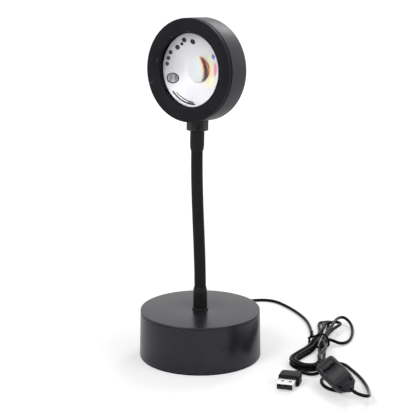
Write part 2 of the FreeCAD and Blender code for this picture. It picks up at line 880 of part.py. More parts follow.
def tube(label, path, diameter):
    edges, radii = path
    wire = Part.Wire(edges)
    start = edges[0].Vertexes[0].Point
    heading = edges[0].tangentAt(edges[0].FirstParameter)
    radius = as_size(diameter).value / 2
    circle = Part.Wire(Part.makeCircle(radius, start, heading))
    solid = wire.makePipeShell([circle], True, False)
    item = doc.addObject("Part::Feature", "cord")
    item.Shape = solid
    expected = math.pi * radius * radius * wire.Length
    print(label, "length", round(wire.Length, 1), "tightest", round(min(radii), 2),
          "volume share", round(item.Shape.Volume / expected, 4), "low", round(item.Shape.BoundBox.ZMin, 3))
    centrelines[label] = [edge.valueAt(edge.FirstParameter + (edge.LastParameter - edge.FirstParameter)
                                       * step / 8) for edge in edges for step in range(8)]
    keep(item, label)


# Hank: one strand wound four times in a waisted loop, drawn in at the tie.
waist = Vector(91, 11, 0)
waist_up = Vector(0.243, 0.97, 0)
waist_right = Vector(0.97, -0.243, 0)
waist_lift = 1.4
floor_height = cord_diameter.value / 2 + 0.05
hank_step = 3.25
hank_angles = (0, 14, 30, 60, 90, 120, 150, 166, 180, 195, 210, 225, 240, 255, 270, 285, 300, 315, 330,
               345)
hank_reach = (59, 48, 44, 44)


def hank_plan(angle, number):
    sine = math.sin(math.radians(angle))
    cosine = math.cos(math.radians(angle))
    if sine >= 0 and angle <= 180:
        side = -cosine * (1.8 + 25 * sine ** 2) - 1.8 * sine ** 2
        height = -49 * sine - 0.37 * side * sine
        up = Vector(0.285, 0.958, 0)
    else:
        side = -cosine * (1.8 + 15 * abs(sine) ** (3 if number == 0 else 6))
        height = hank_reach[number] * abs(sine)
        up = Vector(0.2, 0.98, 0)
        if number == 2:
            side += max(0.0, height - 15) * 0.32 * min(1.0, max(0.0, (285 - angle) / 60))
    share = min(1.0, abs(height) / 12)
    up = (waist_up * (1 - share) + up * share).normalize()
    right = Vector(up.y, -up.x, 0)
    return waist + up * height + right * side


def hank_point(angle, number, spread, layer):
    here = hank_plan(angle, number)
    before = hank_plan(angle - 3, number)
    after = hank_plan(angle + 3, number)
    if angle in (0, 180):
        along_way = waist_up * (-1 if angle == 0 else 1)
    else:
        along_way = (after - before).normalize()
    outward = Vector(along_way.y, -along_way.x, 0)
    spot = here + outward * (spread * 3.4)
    lift = waist_lift if angle in (0, 180) else 0.0
    return Vector(spot.x, spot.y, floor_height + layer * hank_step + lift)


def hank_points():
    spreads = (1, 0, 0, 1)
    layers = (0, 0, 1, 1)
    points = []
    for number in range(4):
        for angle in hank_angles:
            if number == 3 and angle > 180:
                break
            spread = spreads[number]
            layer = layers[number]
            if number == 0 and angle > 315:
                spread = spreads[1]
            if number == 1 and angle > 300:
                layer = layers[2]
            if number == 2 and angle > 285:
                spread = spreads[3]
            points.append(hank_point(angle, number, spread, layer))
    return points


def at_waist(side, along_hank, height):
    return waist + waist_right * side + waist_up * along_hank + Vector(0, 0, height)


def cord_pieces():
    turns = hank_points()
    socket = cord_socket.value
    tube("cord_hank", biarc_path(turns, waist_up * -1, waist_up), cord_diameter)
    low = floor_height
    grommet_end = grommet_seat.value - grommet_flange_thickness.value
    tube("cord_lead", rounded_path([
        Vector(0, grommet_end, grommet_height.value),
        Vector(0, 66, grommet_height.value),
        Vector(4.6, 89, 4.6),
        Vector(15, 107, low),
        Vector(31, 120, low),
        Vector(49, 127, low),
        Vector(62, 124, low),
        Vector(72, 109, low),
        Vector(80, 92, low),
        Vector(85.8, 74, low),
        Vector(87.6, 56, low),
        Vector(87.5, 40, low),
        turns[0] + waist_up * 14 + Vector(0, 0, -waist_lift),
        turns[0],
    ]), cord_diameter)
    leave = turns[-1]
    tube("cord_bight", rounded_path([
        leave,
        leave + waist_up * 7,
        at_waist(8.6, 13.5, 4.6),
        at_waist(15.5, 15, 2),
        Vector(114.8, 28, low),
        Vector(118.8, 39, low),
        Vector(121.5, 51, 2),
        Vector(119, 62.5, 4),
        Vector(112.5, 68.5, 6.6),
        Vector(107, 61, 8),
        Vector(105, 43, 8.6),
        at_waist(4.5, 16, 8.8),
        at_waist(2.2, 0, 8.8),
        Vector(94.6, -7, 9.4),
        Vector(94, -18, 11),
        Vector(90.3, -28.5, 12.2),
        switch_point(switch_length.value + relief_length.value + 10, -switch_middle.value,
                     switch_split.value),
        switch_point(switch_length.value + relief_length.value - socket, -switch_middle.value,
                     switch_split.value),
    ]), cord_diameter)
    tube("cord_tail", rounded_path([
        switch_point(socket - relief_length.value, -switch_middle.value, switch_split.value),
        switch_point(-relief_length.value - 5.6, -switch_middle.value, switch_split.value),
        Vector(112.7, -105.6, 9),
        Vector(116.9, -102.4, 7.5),
        Vector(118.2, -93, 5),
        Vector(119, -81, 2.6),
        Vector(119.2, -68.5, low),
        Vector(116.5, -52, low),
        Vector(111.5, -36.5, low),
        Vector(107, -24, low),
        Vector(98.8, -22.6, low),
        Vector(95.6, -29.7, low),
        Vector(96.2, -39.6, low),
        Vector(91.5, -48.5, low),
        Vector(87.2, -57, low),
        Vector(88, -67.5, low),
        Vector(93, -75.5, low),
        Vector(101, -78.8, low),
        Vector(107.5, -73.8, low),
        Vector(110.3, -63, low),
        Vector(110, -51, low),
        Vector(105.6, -43, low + 0.1),
        Vector(98.5, -42.4, low + hank_step),
        Vector(91.5, -43.6, low + hank_step),
        Vector(85.2, -46.2, low + 0.5),
        Vector(80, -45.6, low),
        Vector(75.1, -43.5, low + 0.6),
        plug_point(-plug_length.value - plug_relief_length.value - 5, 0, 0),
        plug_point(socket - plug_length.value - plug_relief_length.value, 0, 0),
    ]), cord_diameter)
    wide = 4.9 + cord_diameter.value / 2 + tie_radius.value + 0.5
    bottom = tie_radius.value + 0.05
    top = floor_height + waist_lift + 2 * hank_step + cord_diameter.value / 2 + tie_radius.value + 0.4
    tube("cord_tie", rounded_path([
        at_waist(-wide - 3.6, 4.6, top + 0.4),
        at_waist(-wide + 0.8, 3.4, top - 2),
        at_waist(0.6, 2.4, top + 0.4),
        at_waist(5, 2, top + 0.2),
        at_waist(wide + 0.2, 1.6, top - 4.4),
        at_waist(wide + 0.2, 1.4, bottom),
        at_waist(-wide - 1, 1, bottom),
        at_waist(-wide - 0.4, 0.4, top - 3),
        at_waist(-wide - 1.4, -1, top + 1.8),
    ]), tie_radius * 2)
    tube("base_lead", rounded_path([
        Vector(0, grommet_end, grommet_height.value),
        Vector(0, lead_bend.value, grommet_height.value),
        Vector(0, 0, grommet_height.value + lead_rise.value),
        Vector(0, 0, ferrule_top.value - wire_tail.value - 0.1),
    ]), wire_radius * 2)
    nipple_top = hex_height.value + nipple_length.value
    board_edge = axis_height.value - board_radius.value - lead_gap.value
    board_line = hub_depth.value - head_back.value - pedestal_height.value - board_thickness.value * 0.75
    tube("head_lead", rounded_path([
        fitting_place.multVec(Vector(0, 0, hex_height.value + 1)),
        fitting_place.multVec(Vector(0, 0, nipple_top + 3.5)),
        fitting_place.multVec(Vector(0, board_line, nipple_top + 10.5)),
        fitting_place.multVec(Vector(0, board_line, board_edge)),
    ]), wire_radius * 2)


def spacing(first, second):
    skip = 40 if first is second else 0
    least = 1e9
    for index, one in enumerate(first):
        for other_index, other in enumerate(second):
            if abs(index - other_index) > skip or first is not second:
                least = min(least, one.distanceToPoint(other))
    return least


base_shell()
base_plate()
base_weight()
base_screws()
foot_pad()
cord_grommet()
lower_ferrule()
neck_fastening()
shrink_sleeve("lower_sleeve", ferrule_height - collar_thickness,
              Placement(Vector(0, 0, base_height.value + collar_thickness.value), Rotation()), False)
neck_root()
for link_number in range(joint_count - 1):
    neck_link(link_number)
neck_crown()
neck_wires()
top_ferrule()
shrink_sleeve("upper_sleeve", top_ferrule_length, Placement(neck_end, head_turn), True)
hex_fitting()
set_screw()
head_housing()
head_lock_nut()
light_engine()
lens_holder()
film_and_gasket()
lens()
front_bezel()
switch_halves()
switch_inside()
switch_button()
middle_line = Vector(0, -switch_middle.value, switch_split.value)
ribbed_relief("relief_near", middle_line, Vector(-1, 0, 0))
ribbed_relief("relief_far", middle_line + Vector(switch_length.value, 0, 0), Vector(1, 0, 0))
plug_pieces()
cord_pieces()

doc.recompute()
faulty = False
for item in doc.Objects:
    if "Invalid" in item.State or "Error" in item.State:
        print("state", item.Name, item.Label, item.State)
        faulty = True
for item in nodes:
    if item.Shape.isNull() or not item.Shape.isValid():
        print("shape", item.Label)
        faulty = True
if faulty:
    raise SystemExit("the part did not build")

names = list(centrelines)
for index, first in enumerate(names):
    for second in names[index:]:
        print("centrelines", first, second, round(spacing(centrelines[first], centrelines[second]), 2))
for index, joint in enumerate(joints):
    print("joint", index + 1, [round(value, 4) for value in joint])
for label, place in (("head", fitting_place), ("optical", optical_place), ("switch", switch_place),
                     ("plug", plug_place)):
    print(label, [round(value, 4) for value in place.Base], [round(value, 5) for value in place.Rotation.Q])
for item in nodes:
    box = item.Shape.BoundBox
    low = [round(value, 2) for value in (box.XMin, box.YMin, box.ZMin)]
    high = [round(value, 2) for value in (box.XMax, box.YMax, box.ZMax)]
    print(item.Label, low, high, round(item.Shape.Volume, 1), len(item.Shape.Solids))
os.makedirs("parts", exist_ok=True)
for item in nodes:
    item.Shape.exportStep(f"parts/{item.Label}.step")
print("pieces", len(nodes))
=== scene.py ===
import bpy, bmesh, math
from mathutils import Vector, Matrix


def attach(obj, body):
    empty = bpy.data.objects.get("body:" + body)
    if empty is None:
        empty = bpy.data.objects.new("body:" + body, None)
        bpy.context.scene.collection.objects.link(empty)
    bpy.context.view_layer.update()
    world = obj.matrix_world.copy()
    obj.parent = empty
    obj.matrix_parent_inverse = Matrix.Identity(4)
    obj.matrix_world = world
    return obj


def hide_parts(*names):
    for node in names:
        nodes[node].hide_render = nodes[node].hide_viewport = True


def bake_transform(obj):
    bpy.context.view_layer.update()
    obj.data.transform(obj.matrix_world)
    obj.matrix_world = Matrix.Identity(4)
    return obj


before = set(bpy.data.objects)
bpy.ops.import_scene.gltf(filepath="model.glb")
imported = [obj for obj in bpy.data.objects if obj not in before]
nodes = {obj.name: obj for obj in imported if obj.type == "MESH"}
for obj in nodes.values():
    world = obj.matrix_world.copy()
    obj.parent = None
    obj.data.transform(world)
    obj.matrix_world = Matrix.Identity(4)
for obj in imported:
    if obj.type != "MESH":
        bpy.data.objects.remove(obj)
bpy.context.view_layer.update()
scene = bpy.context.scene

# shader groups that several finishes share

# the edge gain and lift set the lighter edge colour: partly rubbed wear, partly a painted highlight
surface = {"grainScale": 900.0, "fineDetail": 3.0, "broadScale": 60.0, "grainRamp": ((0.35, 0), (0.65, 1)),
           "dust": 0.1, "speckScale": 420.0, "speckDetail": 4.0, "dustRamp": ((0.45, 0), (0.7, 1)),
           "dustColour": (0.42, 0.41, 0.4), "edge": 0.5, "edgeRamp": ((0.52, 0), (0.6, 1)),
           "paleLift": 0.002, "edgeWearAndHighlightGain": 1.8, "edgeWearAndHighlightLift": 0.008}


def newGroup(name, inputs, outputs):
    group = bpy.data.node_groups.new(name, "ShaderNodeTree")
    for label, value in inputs.items():
        kind = "NodeSocketVector" if isinstance(value, tuple) else "NodeSocketFloat"
        group.interface.new_socket(label, in_out="INPUT", socket_type=kind).default_value = value
    for label in outputs:
        group.interface.new_socket(label, in_out="OUTPUT", socket_type="NodeSocketFloat")
    return group, group.nodes.new("NodeGroupInput"), group.nodes.new("NodeGroupOutput")


def feed(tree, node, values):  # an output is linked, and a number, vector or colour is set
    for label, value in values.items():
        socket = node.inputs[label]
        if isinstance(value, bpy.types.NodeSocket):
            tree.links.new(value, socket)
        else:
            socket.default_value = (*value, 1.0) if socket.type == "RGBA" else value
    return node


def addNode(tree, kind, values=None):
    return feed(tree, tree.nodes.new("ShaderNode" + kind), values or {})


def objectSpot(tree):
    return addNode(tree, "TexCoord").outputs["Object"]


def mathNode(tree, operation, *values):
    node = addNode(tree, "Math", dict(enumerate(values)))
    node.operation = operation
    return node.outputs[0]


def mixColour(tree, factor, first, second):
    node = tree.nodes.new("ShaderNodeMix")
    node.data_type = "RGBA"
    return feed(tree, node, {0: factor, 6: first, 7: second}).outputs[2]


def noiseNode(tree, place, scale, detail=2.0):
    return addNode(tree, "TexNoise", {"Vector": place, "Scale": scale, "Detail": detail}).outputs["Fac"]


def rampNode(tree, factor, stops):  # two greys and where they lie
    node = addNode(tree, "ValToRGB", {0: factor})
    for element, (place, grey) in zip(node.color_ramp.elements, stops):
        element.position = place
        element.color = (grey, grey, grey, 1.0)
    return node.outputs[0]


def makeGrainGroup():  # fine moulded or sprayed grain: a height and a mask
    inputs = {"Scale": surface["grainScale"], "Stretch": (1, 1, 1)}
    group, start, end = newGroup("surfaceGrain", inputs, ["Height", "Mask"])
    stretch = addNode(group, "VectorMath", {0: objectSpot(group), 1: start.outputs["Stretch"]})
    stretch.operation = "MULTIPLY"
    fine = noiseNode(group, stretch.outputs[0], start.outputs["Scale"], surface["fineDetail"])
    broad = noiseNode(group, stretch.outputs[0], surface["broadScale"])
    feed(group, end, {"Height": fine, "Mask": rampNode(group, broad, surface["grainRamp"])})
    return group


def makeDustGroup():  # a veil of dust on faces that look up
    group, start, end = newGroup("dustVeil", {"Amount": surface["dust"]}, ["Mask"])
    split = addNode(group, "SeparateXYZ", {0: addNode(group, "NewGeometry").outputs["Normal"]})
    specks = noiseNode(group, objectSpot(group), surface["speckScale"], surface["speckDetail"])
    patch = rampNode(group, specks, surface["dustRamp"])
    up = mathNode(group, "MAXIMUM", split.outputs[2], 0.0)
    mask = mathNode(group, "MULTIPLY", mathNode(group, "MULTIPLY", up, patch), start.outputs["Amount"])
    feed(group, end, {"Mask": mask})
    return group


def makeEdgeGroup():  # a lighter line at edges: where coats and mouldings thin out, and a painted highlight
    group, start, end = newGroup("edgeRubAndHighlight", {"Amount": surface["edge"]}, ["Mask"])
    sharp = rampNode(group, addNode(group, "NewGeometry").outputs["Pointiness"], surface["edgeRamp"])
    feed(group, end, {"Mask": mathNode(group, "MULTIPLY", sharp, start.outputs["Amount"])})
    return group


grainGroup = makeGrainGroup()
dustGroup = makeDustGroup()
edgeGroup = makeEdgeGroup()


def placeGroup(tree, group, **values):
    node = tree.nodes.new("ShaderNodeGroup")
    node.node_tree = group
    for label, value in values.items():
        node.inputs[label].default_value = value
    return node


def newMaterial(name):
    material = bpy.data.materials.new(name)
    material.use_nodes = True
    tree = material.node_tree
    return material, tree, tree.nodes["Principled BSDF"]


def grainedMaterial(name, **inputs):  # a new material with the height and mask of its grain
    material, tree, shader = newMaterial(name)
    grain = placeGroup(tree, grainGroup, **inputs).outputs
    return material, tree, shader, grain["Height"], grain["Mask"]


def addBump(tree, shader, height, strength, distance):
    bump = addNode(tree, "Bump", {"Strength": strength, "Distance": distance, "Height": height})
    feed(tree, shader, {"Normal": bump.outputs[0]})


plainFinish = {"grain": 1500.0, "stretch": (1, 1, 1), "bump": 0.15, "depth": 0.00005, "dust": 0.1,
               "edge": 0.4, "vary": 1.25, "metallic": 0.0, "specular": 0.5, "tint": (1, 1, 1)}


def coatedMaterial(name, colour, rough, own):  # varied colour, grain, dust, and rubbed edges that carry a painted highlight too
    look = {**plainFinish, **own}
    material, tree, shader, height, mask = grainedMaterial(name, Scale=look["grain"],
                                                           Stretch=look["stretch"])
    dust = placeGroup(tree, dustGroup, Amount=look["dust"])
    edge = placeGroup(tree, edgeGroup, Amount=look["edge"])
    paler = tuple(min(1.0, channel * look["vary"] + surface["paleLift"]) for channel in colour)
    # the lighter edge colour: partly rubbed wear, partly a painted highlight
    edgeWearAndHighlight = tuple(min(1.0, channel * surface["edgeWearAndHighlightGain"] + surface["edgeWearAndHighlightLift"]) for channel in colour)
    mixed = mixColour(tree, mask, colour, paler)
    mixed = mixColour(tree, edge.outputs["Mask"], mixed, look.get("edgeWearAndHighlight", edgeWearAndHighlight))
    mixed = mixColour(tree, dust.outputs["Mask"], mixed, surface["dustColour"])
    feed(tree, shader, {"Base Color": mixed, "Metallic": look["metallic"],
                        "Roughness": rampNode(tree, mask, tuple(enumerate(rough))),
                        "Specular IOR Level": look["specular"], "Specular Tint": look["tint"]})
    addBump(tree, shader, height, look["bump"], look["depth"])
    return material


finishes = {  # colour, roughness from and to, and what differs from the plain finish
    # the bluish specular tint of the black coats is a painted reflection: a cool cast given to what they
    # mirror
    "baseCoat": ((0.0075, 0.0075, 0.0115), (0.26, 0.3), {"bump": 0.03, "specular": 0.43,
        "tint": (0.92, 0.92, 1.0), "dust": 0.0, "edge": 0.6}),
    "headCoat": ((0.010, 0.010, 0.013), (0.42, 0.5), {"grain": 1800.0, "bump": 0.12, "specular": 0.55,
        "tint": (0.93, 0.93, 1.0), "dust": 0.0, "edge": 0.5}),
    # the bezel's bright edge colour at full strength is a painted highlight along the face's edge and the
    # seam
    "bezelCoat": ((0.006, 0.006, 0.0085), (0.42, 0.5), {"grain": 1800.0, "bump": 0.12, "specular": 0.16,
        "tint": (0.93, 0.93, 1.0), "dust": 0.0, "edge": 1.0, "edgeWearAndHighlight": (0.06, 0.06, 0.066)}),
    "neckCoat": ((0.010, 0.010, 0.0108), (0.5, 0.6), {"grain": 1600.0, "bump": 0.12, "specular": 0.1,
        "dust": 0.02, "edge": 0.1}),
    "sleeveSkin": ((0.007, 0.007, 0.0075), (0.36, 0.46), {"grain": 1100.0, "bump": 0.14,
        "stretch": (1, 1, 0.15), "specular": 0.18, "dust": 0.02, "edge": 0.1}),
    "fittingCoat": ((0.007, 0.007, 0.0085), (0.3, 0.4), {"grain": 1400.0, "bump": 0.08, "specular": 0.26,
        "dust": 0.03, "edge": 0.7}),
    "screwSteel": ((0.05, 0.05, 0.055), (0.3, 0.4), {"metallic": 1.0, "bump": 0.05, "edge": 0.6}),
    "bareSteel": ((0.5, 0.5, 0.51), (0.28, 0.4), {"metallic": 1.0, "grain": 1200.0,
        "stretch": (1, 0.05, 1), "bump": 0.06, "edge": 0.4}),
    "castIron": ((0.12, 0.12, 0.125), (0.55, 0.7), {"metallic": 0.8, "grain": 500.0, "bump": 0.5,
        "depth": 0.0002}),
    "footRubber": ((0.004, 0.004, 0.004), (0.7, 0.8), {"grain": 700.0, "bump": 0.3, "specular": 0.12,
        "dust": 0.03}),
    "ventBlack": ((0.002, 0.002, 0.002), (0.5, 0.6), {"bump": 0.1, "specular": 0.04, "dust": 0.0,
        "edge": 0.0}),
    "cordSkin": ((0.002, 0.002, 0.0023), (0.13, 0.19), {"grain": 1300.0, "bump": 0.06, "specular": 0.07,
        "dust": 0.01, "edge": 0.05}),
    "tieSkin": ((0.002, 0.002, 0.0023), (0.25, 0.35), {"grain": 1300.0, "bump": 0.1, "specular": 0.08,
        "dust": 0.01, "edge": 0.05}),
    "switchShell": ((0.013, 0.0125, 0.0165), (0.38, 0.46), {"grain": 1700.0, "bump": 0.2,
        "specular": 0.26, "dust": 0.04, "edge": 0.6}),
    "buttonCap": ((0.002, 0.002, 0.0025), (0.12, 0.2), {"bump": 0.05, "specular": 0.2, "dust": 0.0,
        "edge": 0.2}),
    "plugShell": ((0.0045, 0.0045, 0.006), (0.34, 0.44), {"bump": 0.14, "specular": 0.1, "dust": 0.0,
        "edge": 0.5}),
    "brightMetal": ((0.82, 0.82, 0.84), (0.14, 0.22), {"metallic": 1.0, "grain": 900.0,
        "stretch": (1, 0.1, 1), "bump": 0.03, "dust": 0.0, "edge": 0.1, "edgeWearAndHighlight": (0.9, 0.9, 0.92)}),
    "tonguePlastic": ((0.012, 0.012, 0.012), (0.4, 0.5), {"bump": 0.05, "specular": 0.2}),
    "goldPlate": ((0.85, 0.6, 0.25), (0.2, 0.3), {"metallic": 1.0, "bump": 0.03,
        "edgeWearAndHighlight": (0.9, 0.7, 0.4)}),
    "boardGreen": ((0.02, 0.16, 0.06), (0.3, 0.4), {"bump": 0.05}),
    "boardWhite": ((0.78, 0.78, 0.76), (0.4, 0.5), {"bump": 0.05, "edgeWearAndHighlight": (0.8, 0.8, 0.8)}),
    "phosphor": ((0.8, 0.62, 0.12), (0.3, 0.4), {"grain": 2500.0, "bump": 0.2, "edgeWearAndHighlight": (0.85, 0.7, 0.2)}),
    "windowGrey": ((0.1, 0.103, 0.11), (0.25, 0.36), {"grain": 900.0, "bump": 0.06, "stretch": (9, 9, 1),
        "vary": 3.4, "dust": 0.0, "edge": 0.0}),
    "patchBrown": ((0.12, 0.1, 0.08), (0.4, 0.5), {"bump": 0.1, "vary": 1.8, "dust": 0.0}),
}
materials = {name: coatedMaterial(name, *row) for name, row in finishes.items()}
print("finishes made:", len(materials))

# mesh helpers: profiles, outlines and places are in millimetres

folds = {"sharp": 32.0, "bevel": 30.0, "sharpBevel": 50.0}  # degrees from which an edge counts
weld = 1e-7


def shadeFaces(mesh, degrees):
    mesh.polygons.foreach_set("use_smooth", [True] * len(mesh.polygons))
    mesh.set_sharp_from_angle(angle=math.radians(degrees))


def applyModifier(piece, kind, **settings):
    modifier = piece.modifiers.new("shaping", kind)
    for label, value in settings.items():
        setattr(modifier, label, value)
    bpy.context.view_layer.objects.active = piece
    bpy.ops.object.modifier_apply(modifier="shaping")


def addObject(name, data):
    piece = bpy.data.objects.new(name, data)
    scene.collection.objects.link(piece)
    return piece


def meshPiece(name, points, faces, finish, place, split=False):
    mesh = bpy.data.meshes.new(name)
    mesh.from_pydata([(place @ Vector(point)) * 0.001 for point in points], [], faces)
    work = bmesh.new()
    work.from_mesh(mesh)
    bmesh.ops.remove_doubles(work, verts=work.verts, dist=weld)
    bmesh.ops.recalc_face_normals(work, faces=work.faces)
    if split:  # an end that isn't flat
        bmesh.ops.triangulate(work, faces=[face for face in work.faces if len(face.verts) > 4])
    work.to_mesh(mesh)
    work.free()
    shadeFaces(mesh, folds["sharp"])
    mesh.materials.append(materials[finish])
    return addObject(name, mesh)


def circleOutline(radius, steps):
    angles = [math.tau * step / steps for step in range(steps)]
    return [(radius * math.cos(angle), radius * math.sin(angle)) for angle in angles]


def roundCorners(profile, radii, steps=5):  # a small arc at every corner of an outline
    result = []
    for index, spot in enumerate(profile):
        corner = Vector(spot)
        radius = radii[index] if isinstance(radii, (list, tuple)) else radii
        if radius == 0:
            result.append(spot)
            continue
        before = Vector(profile[index - 1]) - corner
        after = Vector(profile[(index + 1) % len(profile)]) - corner
        reach = min(radius, before.length * 0.49, after.length * 0.49)
        start = corner + before.normalized() * reach
        end = corner + after.normalized() * reach
        for step in range(steps + 1):
            share = step / steps
            point = start * (1 - share) ** 2 + corner * 2 * share * (1 - share) + end * share ** 2
            result.append(tuple(point))
    return result


def oblong(low, high, corner, steps=8):  # a rectangle's outline with round corners
    profile = [(low[0], low[1]), (high[0], low[1]), (high[0], high[1]), (low[0], high[1])]
    outline = []
    for index, (x, y) in enumerate(profile):
        across = x + corner * (1 if index in (0, 3) else -1)
        along = y + corner * (1 if index < 2 else -1)
        for step in range(steps + 1):
            angle = math.radians(180 + 90 * index + 90 * step / steps)
            outline.append((across + corner * math.cos(angle), along + corner * math.sin(angle)))
    return outline


def skinFaces(rings, sides):  # quads from ring to ring, and a face at each end
    faces = []
    for ring in range(rings - 1):
        for step in range(sides):
            near, ahead = ring * sides, (step + 1) % sides
            faces.append([near + step, near + ahead, near + sides + ahead, near + sides + step])
    return faces + [list(range(sides))[::-1], [(rings - 1) * sides + step for step in range(sides)]]


def tubePiece(name, path, radiusAt, finish, sides):  # rings carried along a line of points
    points = []
    side = (path[1] - path[0]).normalized().orthogonal().normalized()
    for index, centre in enumerate(path):
        ahead = (path[min(index + 1, len(path) - 1)] - path[max(index - 1, 0)]).normalized()
        side = (side - ahead * side.dot(ahead)).normalized()
        up = ahead.cross(side)
        for step in range(sides):
            angle = math.tau * step / sides
            radius = radiusAt(index, angle)
            points.append(centre + side * radius * math.cos(angle) + up * radius * math.sin(angle))
    return meshPiece(name, points, skinFaces(len(path), sides), finish, upright)


def prism(name, outline, low, high, place, finish, slope=None):  # an outline carried up to a level
    points = [(x, y, max(low, slope(x)) if slope else low) for x, y in outline]
    points += [(x, y, high) for x, y in outline]
    return meshPiece(name, points, skinFaces(2, len(outline)), finish, place, slope is not None)


def carve(piece, outline, low, high, place):  # cuts a prism out of a piece
    tool = prism("carveTool", outline, low, high, place, piece.data.materials[0].name)
    applyModifier(piece, "BOOLEAN", operation="DIFFERENCE", solver="EXACT", object=tool)
    toolMesh = tool.data
    bpy.data.objects.remove(tool)
    bpy.data.meshes.remove(toolMesh)


def softenEdges(piece, width, segments=3):  # a narrow rounded edge, applied at once
    applyModifier(piece, "BEVEL", width=width * 0.001, segments=segments, limit_method="ANGLE",
                  angle_limit=math.radians(folds["bevel"]))
    shadeFaces(piece.data, folds["sharpBevel"])
    return piece


def splineObject(name, route, scale, resolution):
    curve = bpy.data.curves.new(name, "CURVE")
    curve.dimensions = "3D"
    curve.resolution_u = resolution
    spline = curve.splines.new("NURBS")
    spline.points.add(len(route) - 1)
    for point, spot in zip(spline.points, route):
        point.co = (*(spot * scale), 1.0)
    spline.order_u = 3
    spline.use_endpoint_u = True
    return addObject(name, curve)


def curvePath(route):  # the smooth line of a route, read back from a spline with no thickness
    holder = splineObject("routeLine", route, 1.0, 12)
    bpy.context.view_layer.update()
    line = bpy.data.meshes.new_from_object(holder)
    path = [vertex.co.copy() for vertex in line.vertices]
    curve = holder.data
    bpy.data.objects.remove(holder)
    bpy.data.curves.remove(curve)
    bpy.data.meshes.remove(line)
    return path


upright = Matrix.Identity(4)


def shift(x, y, z):
    return Matrix.Translation((x, y, z))


def spin(degrees, axis):
    return Matrix.Rotation(math.radians(degrees), 4, axis)


def carry(piece, body, slot, *replaced):
    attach(piece, body)
    if replaced:
        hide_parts(*replaced)
    return piece


def turnPiece(name, profile, corners, finish, place, steps, home, *replaced):  # lathed, with soft corners
    profile = roundCorners(profile, corners)
    count = len(profile)
    points = []
    faces = []
    for step in range(steps):
        angle = math.tau * step / steps
        points += [(radius * math.cos(angle), radius * math.sin(angle), level) for radius, level in profile]
        ahead = (step + 1) % steps
        for index in range(count):
            other = (index + 1) % count
            face = []
            for turn, spot in ((step, index), (ahead, index), (ahead, other), (step, other)):
                corner = spot if profile[spot][0] < 1e-9 else turn * count + spot  # one point on the axis
                if corner not in face:
                    face.append(corner)
            if len(face) > 2:
                faces.append(face)
    return carry(meshPiece(name, points, faces, finish, place), *home, *replaced)


# base: a spun shell on a rubber pad

base = {"topRadius": 45.0, "bottomRadius": 45.8, "height": 36.5, "wall": 1.5, "deck": 2.0, "edge": 0.7,
        "padThickness": 0.8, "padAndShadeRadius": 45.5, "padRecess": (8.3, 0.25), "stemHole": 5.0,
        "rimLine": (35.3, 0.6, 0.4), "collar": (4.96, 6.1, 1.2)}
grommet = {"exit": 7.0, "bore": 1.4, "flange": (3.9, 41.9, 0.9), "body": 3.0, "shoulder": (46.2, 46.5),
           "grooves": 5, "first": 47.4, "pitch": 2.0, "thinning": 0.19, "depth": 0.45, "tip": (1.95, 58.2)}


def makeBase():
    top = base["topRadius"]
    bottom = base["bottomRadius"]
    height = base["height"]
    low = base["padThickness"]
    at, wide, deep = base["rimLine"]  # the fine line where the top was rolled over the wall
    rim = bottom + (top - bottom) * (at - low) / (height - low)
    profile = [(base["stemHole"], height), (top, height), (rim, at), (rim - deep, at - 0.1),
               (rim - deep, at + 0.1 - wide), (rim, at - wide), (bottom, low), (bottom - base["wall"], low),
               (top - base["wall"], height - base["deck"]), (base["stemHole"], height - base["deck"])]
    corners = [0.2, base["edge"], 0.15, 0.05, 0.05, 0.15, 0.35, 0.2, 1.0, 0.2]
    turnPiece("baseShell", profile, corners, "baseCoat", upright, 192, ("base", "satin_black_metal"),
              "base_shell")
    # the pad is drawn wider, nearly to the shell's edge, so that its black rim shows as a line under the
    # base: painted shade standing in for the contact shadow
    wide = base["padAndShadeRadius"]
    out, deep = base["padRecess"]
    pad = [(0.0, low), (0.0, deep), (out - 0.3, deep), (out + 0.3, 0.0), (wide - 0.3, 0.0), (wide, 0.3),
           (wide, low)]
    turnPiece("footPad", pad, [0, 0, 0.2, 0.2, 0.3, 0.2, 0.1], "footRubber", upright, 128,
              ("base", "foot_rubber"), "foot_pad")


def makeGrommet():
    bore = grommet["bore"]
    body = grommet["body"]
    wide, near, thick = grommet["flange"]
    profile = [(bore, near), (wide, near), (wide, near + thick), (body, near + thick)]
    profile += [(body, level) for level in grommet["shoulder"]]
    for index in range(grommet["grooves"]):  # bending grooves
        at = grommet["first"] + index * grommet["pitch"]
        wide = body - grommet["thinning"] * index
        deep = wide - grommet["depth"]
        profile += [(wide, at), (deep, at + 0.35), (deep, at + 0.85), (wide - 0.12, at + 1.2)]
    tip, far = grommet["tip"]
    profile += [(tip, far), (bore, far)]
    place = shift(0, 0, grommet["exit"]) @ spin(-90, "X")
    turnPiece("cordGrommet", profile, 0, "footRubber", place, 48, ("base", "foot_rubber"), "cord_grommet")


def makeCollar():
    inner, outer, tall = base["collar"]
    low = base["height"]
    profile = [(inner, low), (outer, low), (outer, low + tall), (inner, low + tall)]
    turnPiece("footCollar", profile, [0.1, 0.15, 0.4, 0.1], "fittingCoat", upright, 96,
              ("base", "satin_black_metal"), "foot_collar")


makeBase()
makeGrommet()
makeCollar()
print("base made")

# neck: joint centres lie on one curve, as in the frame

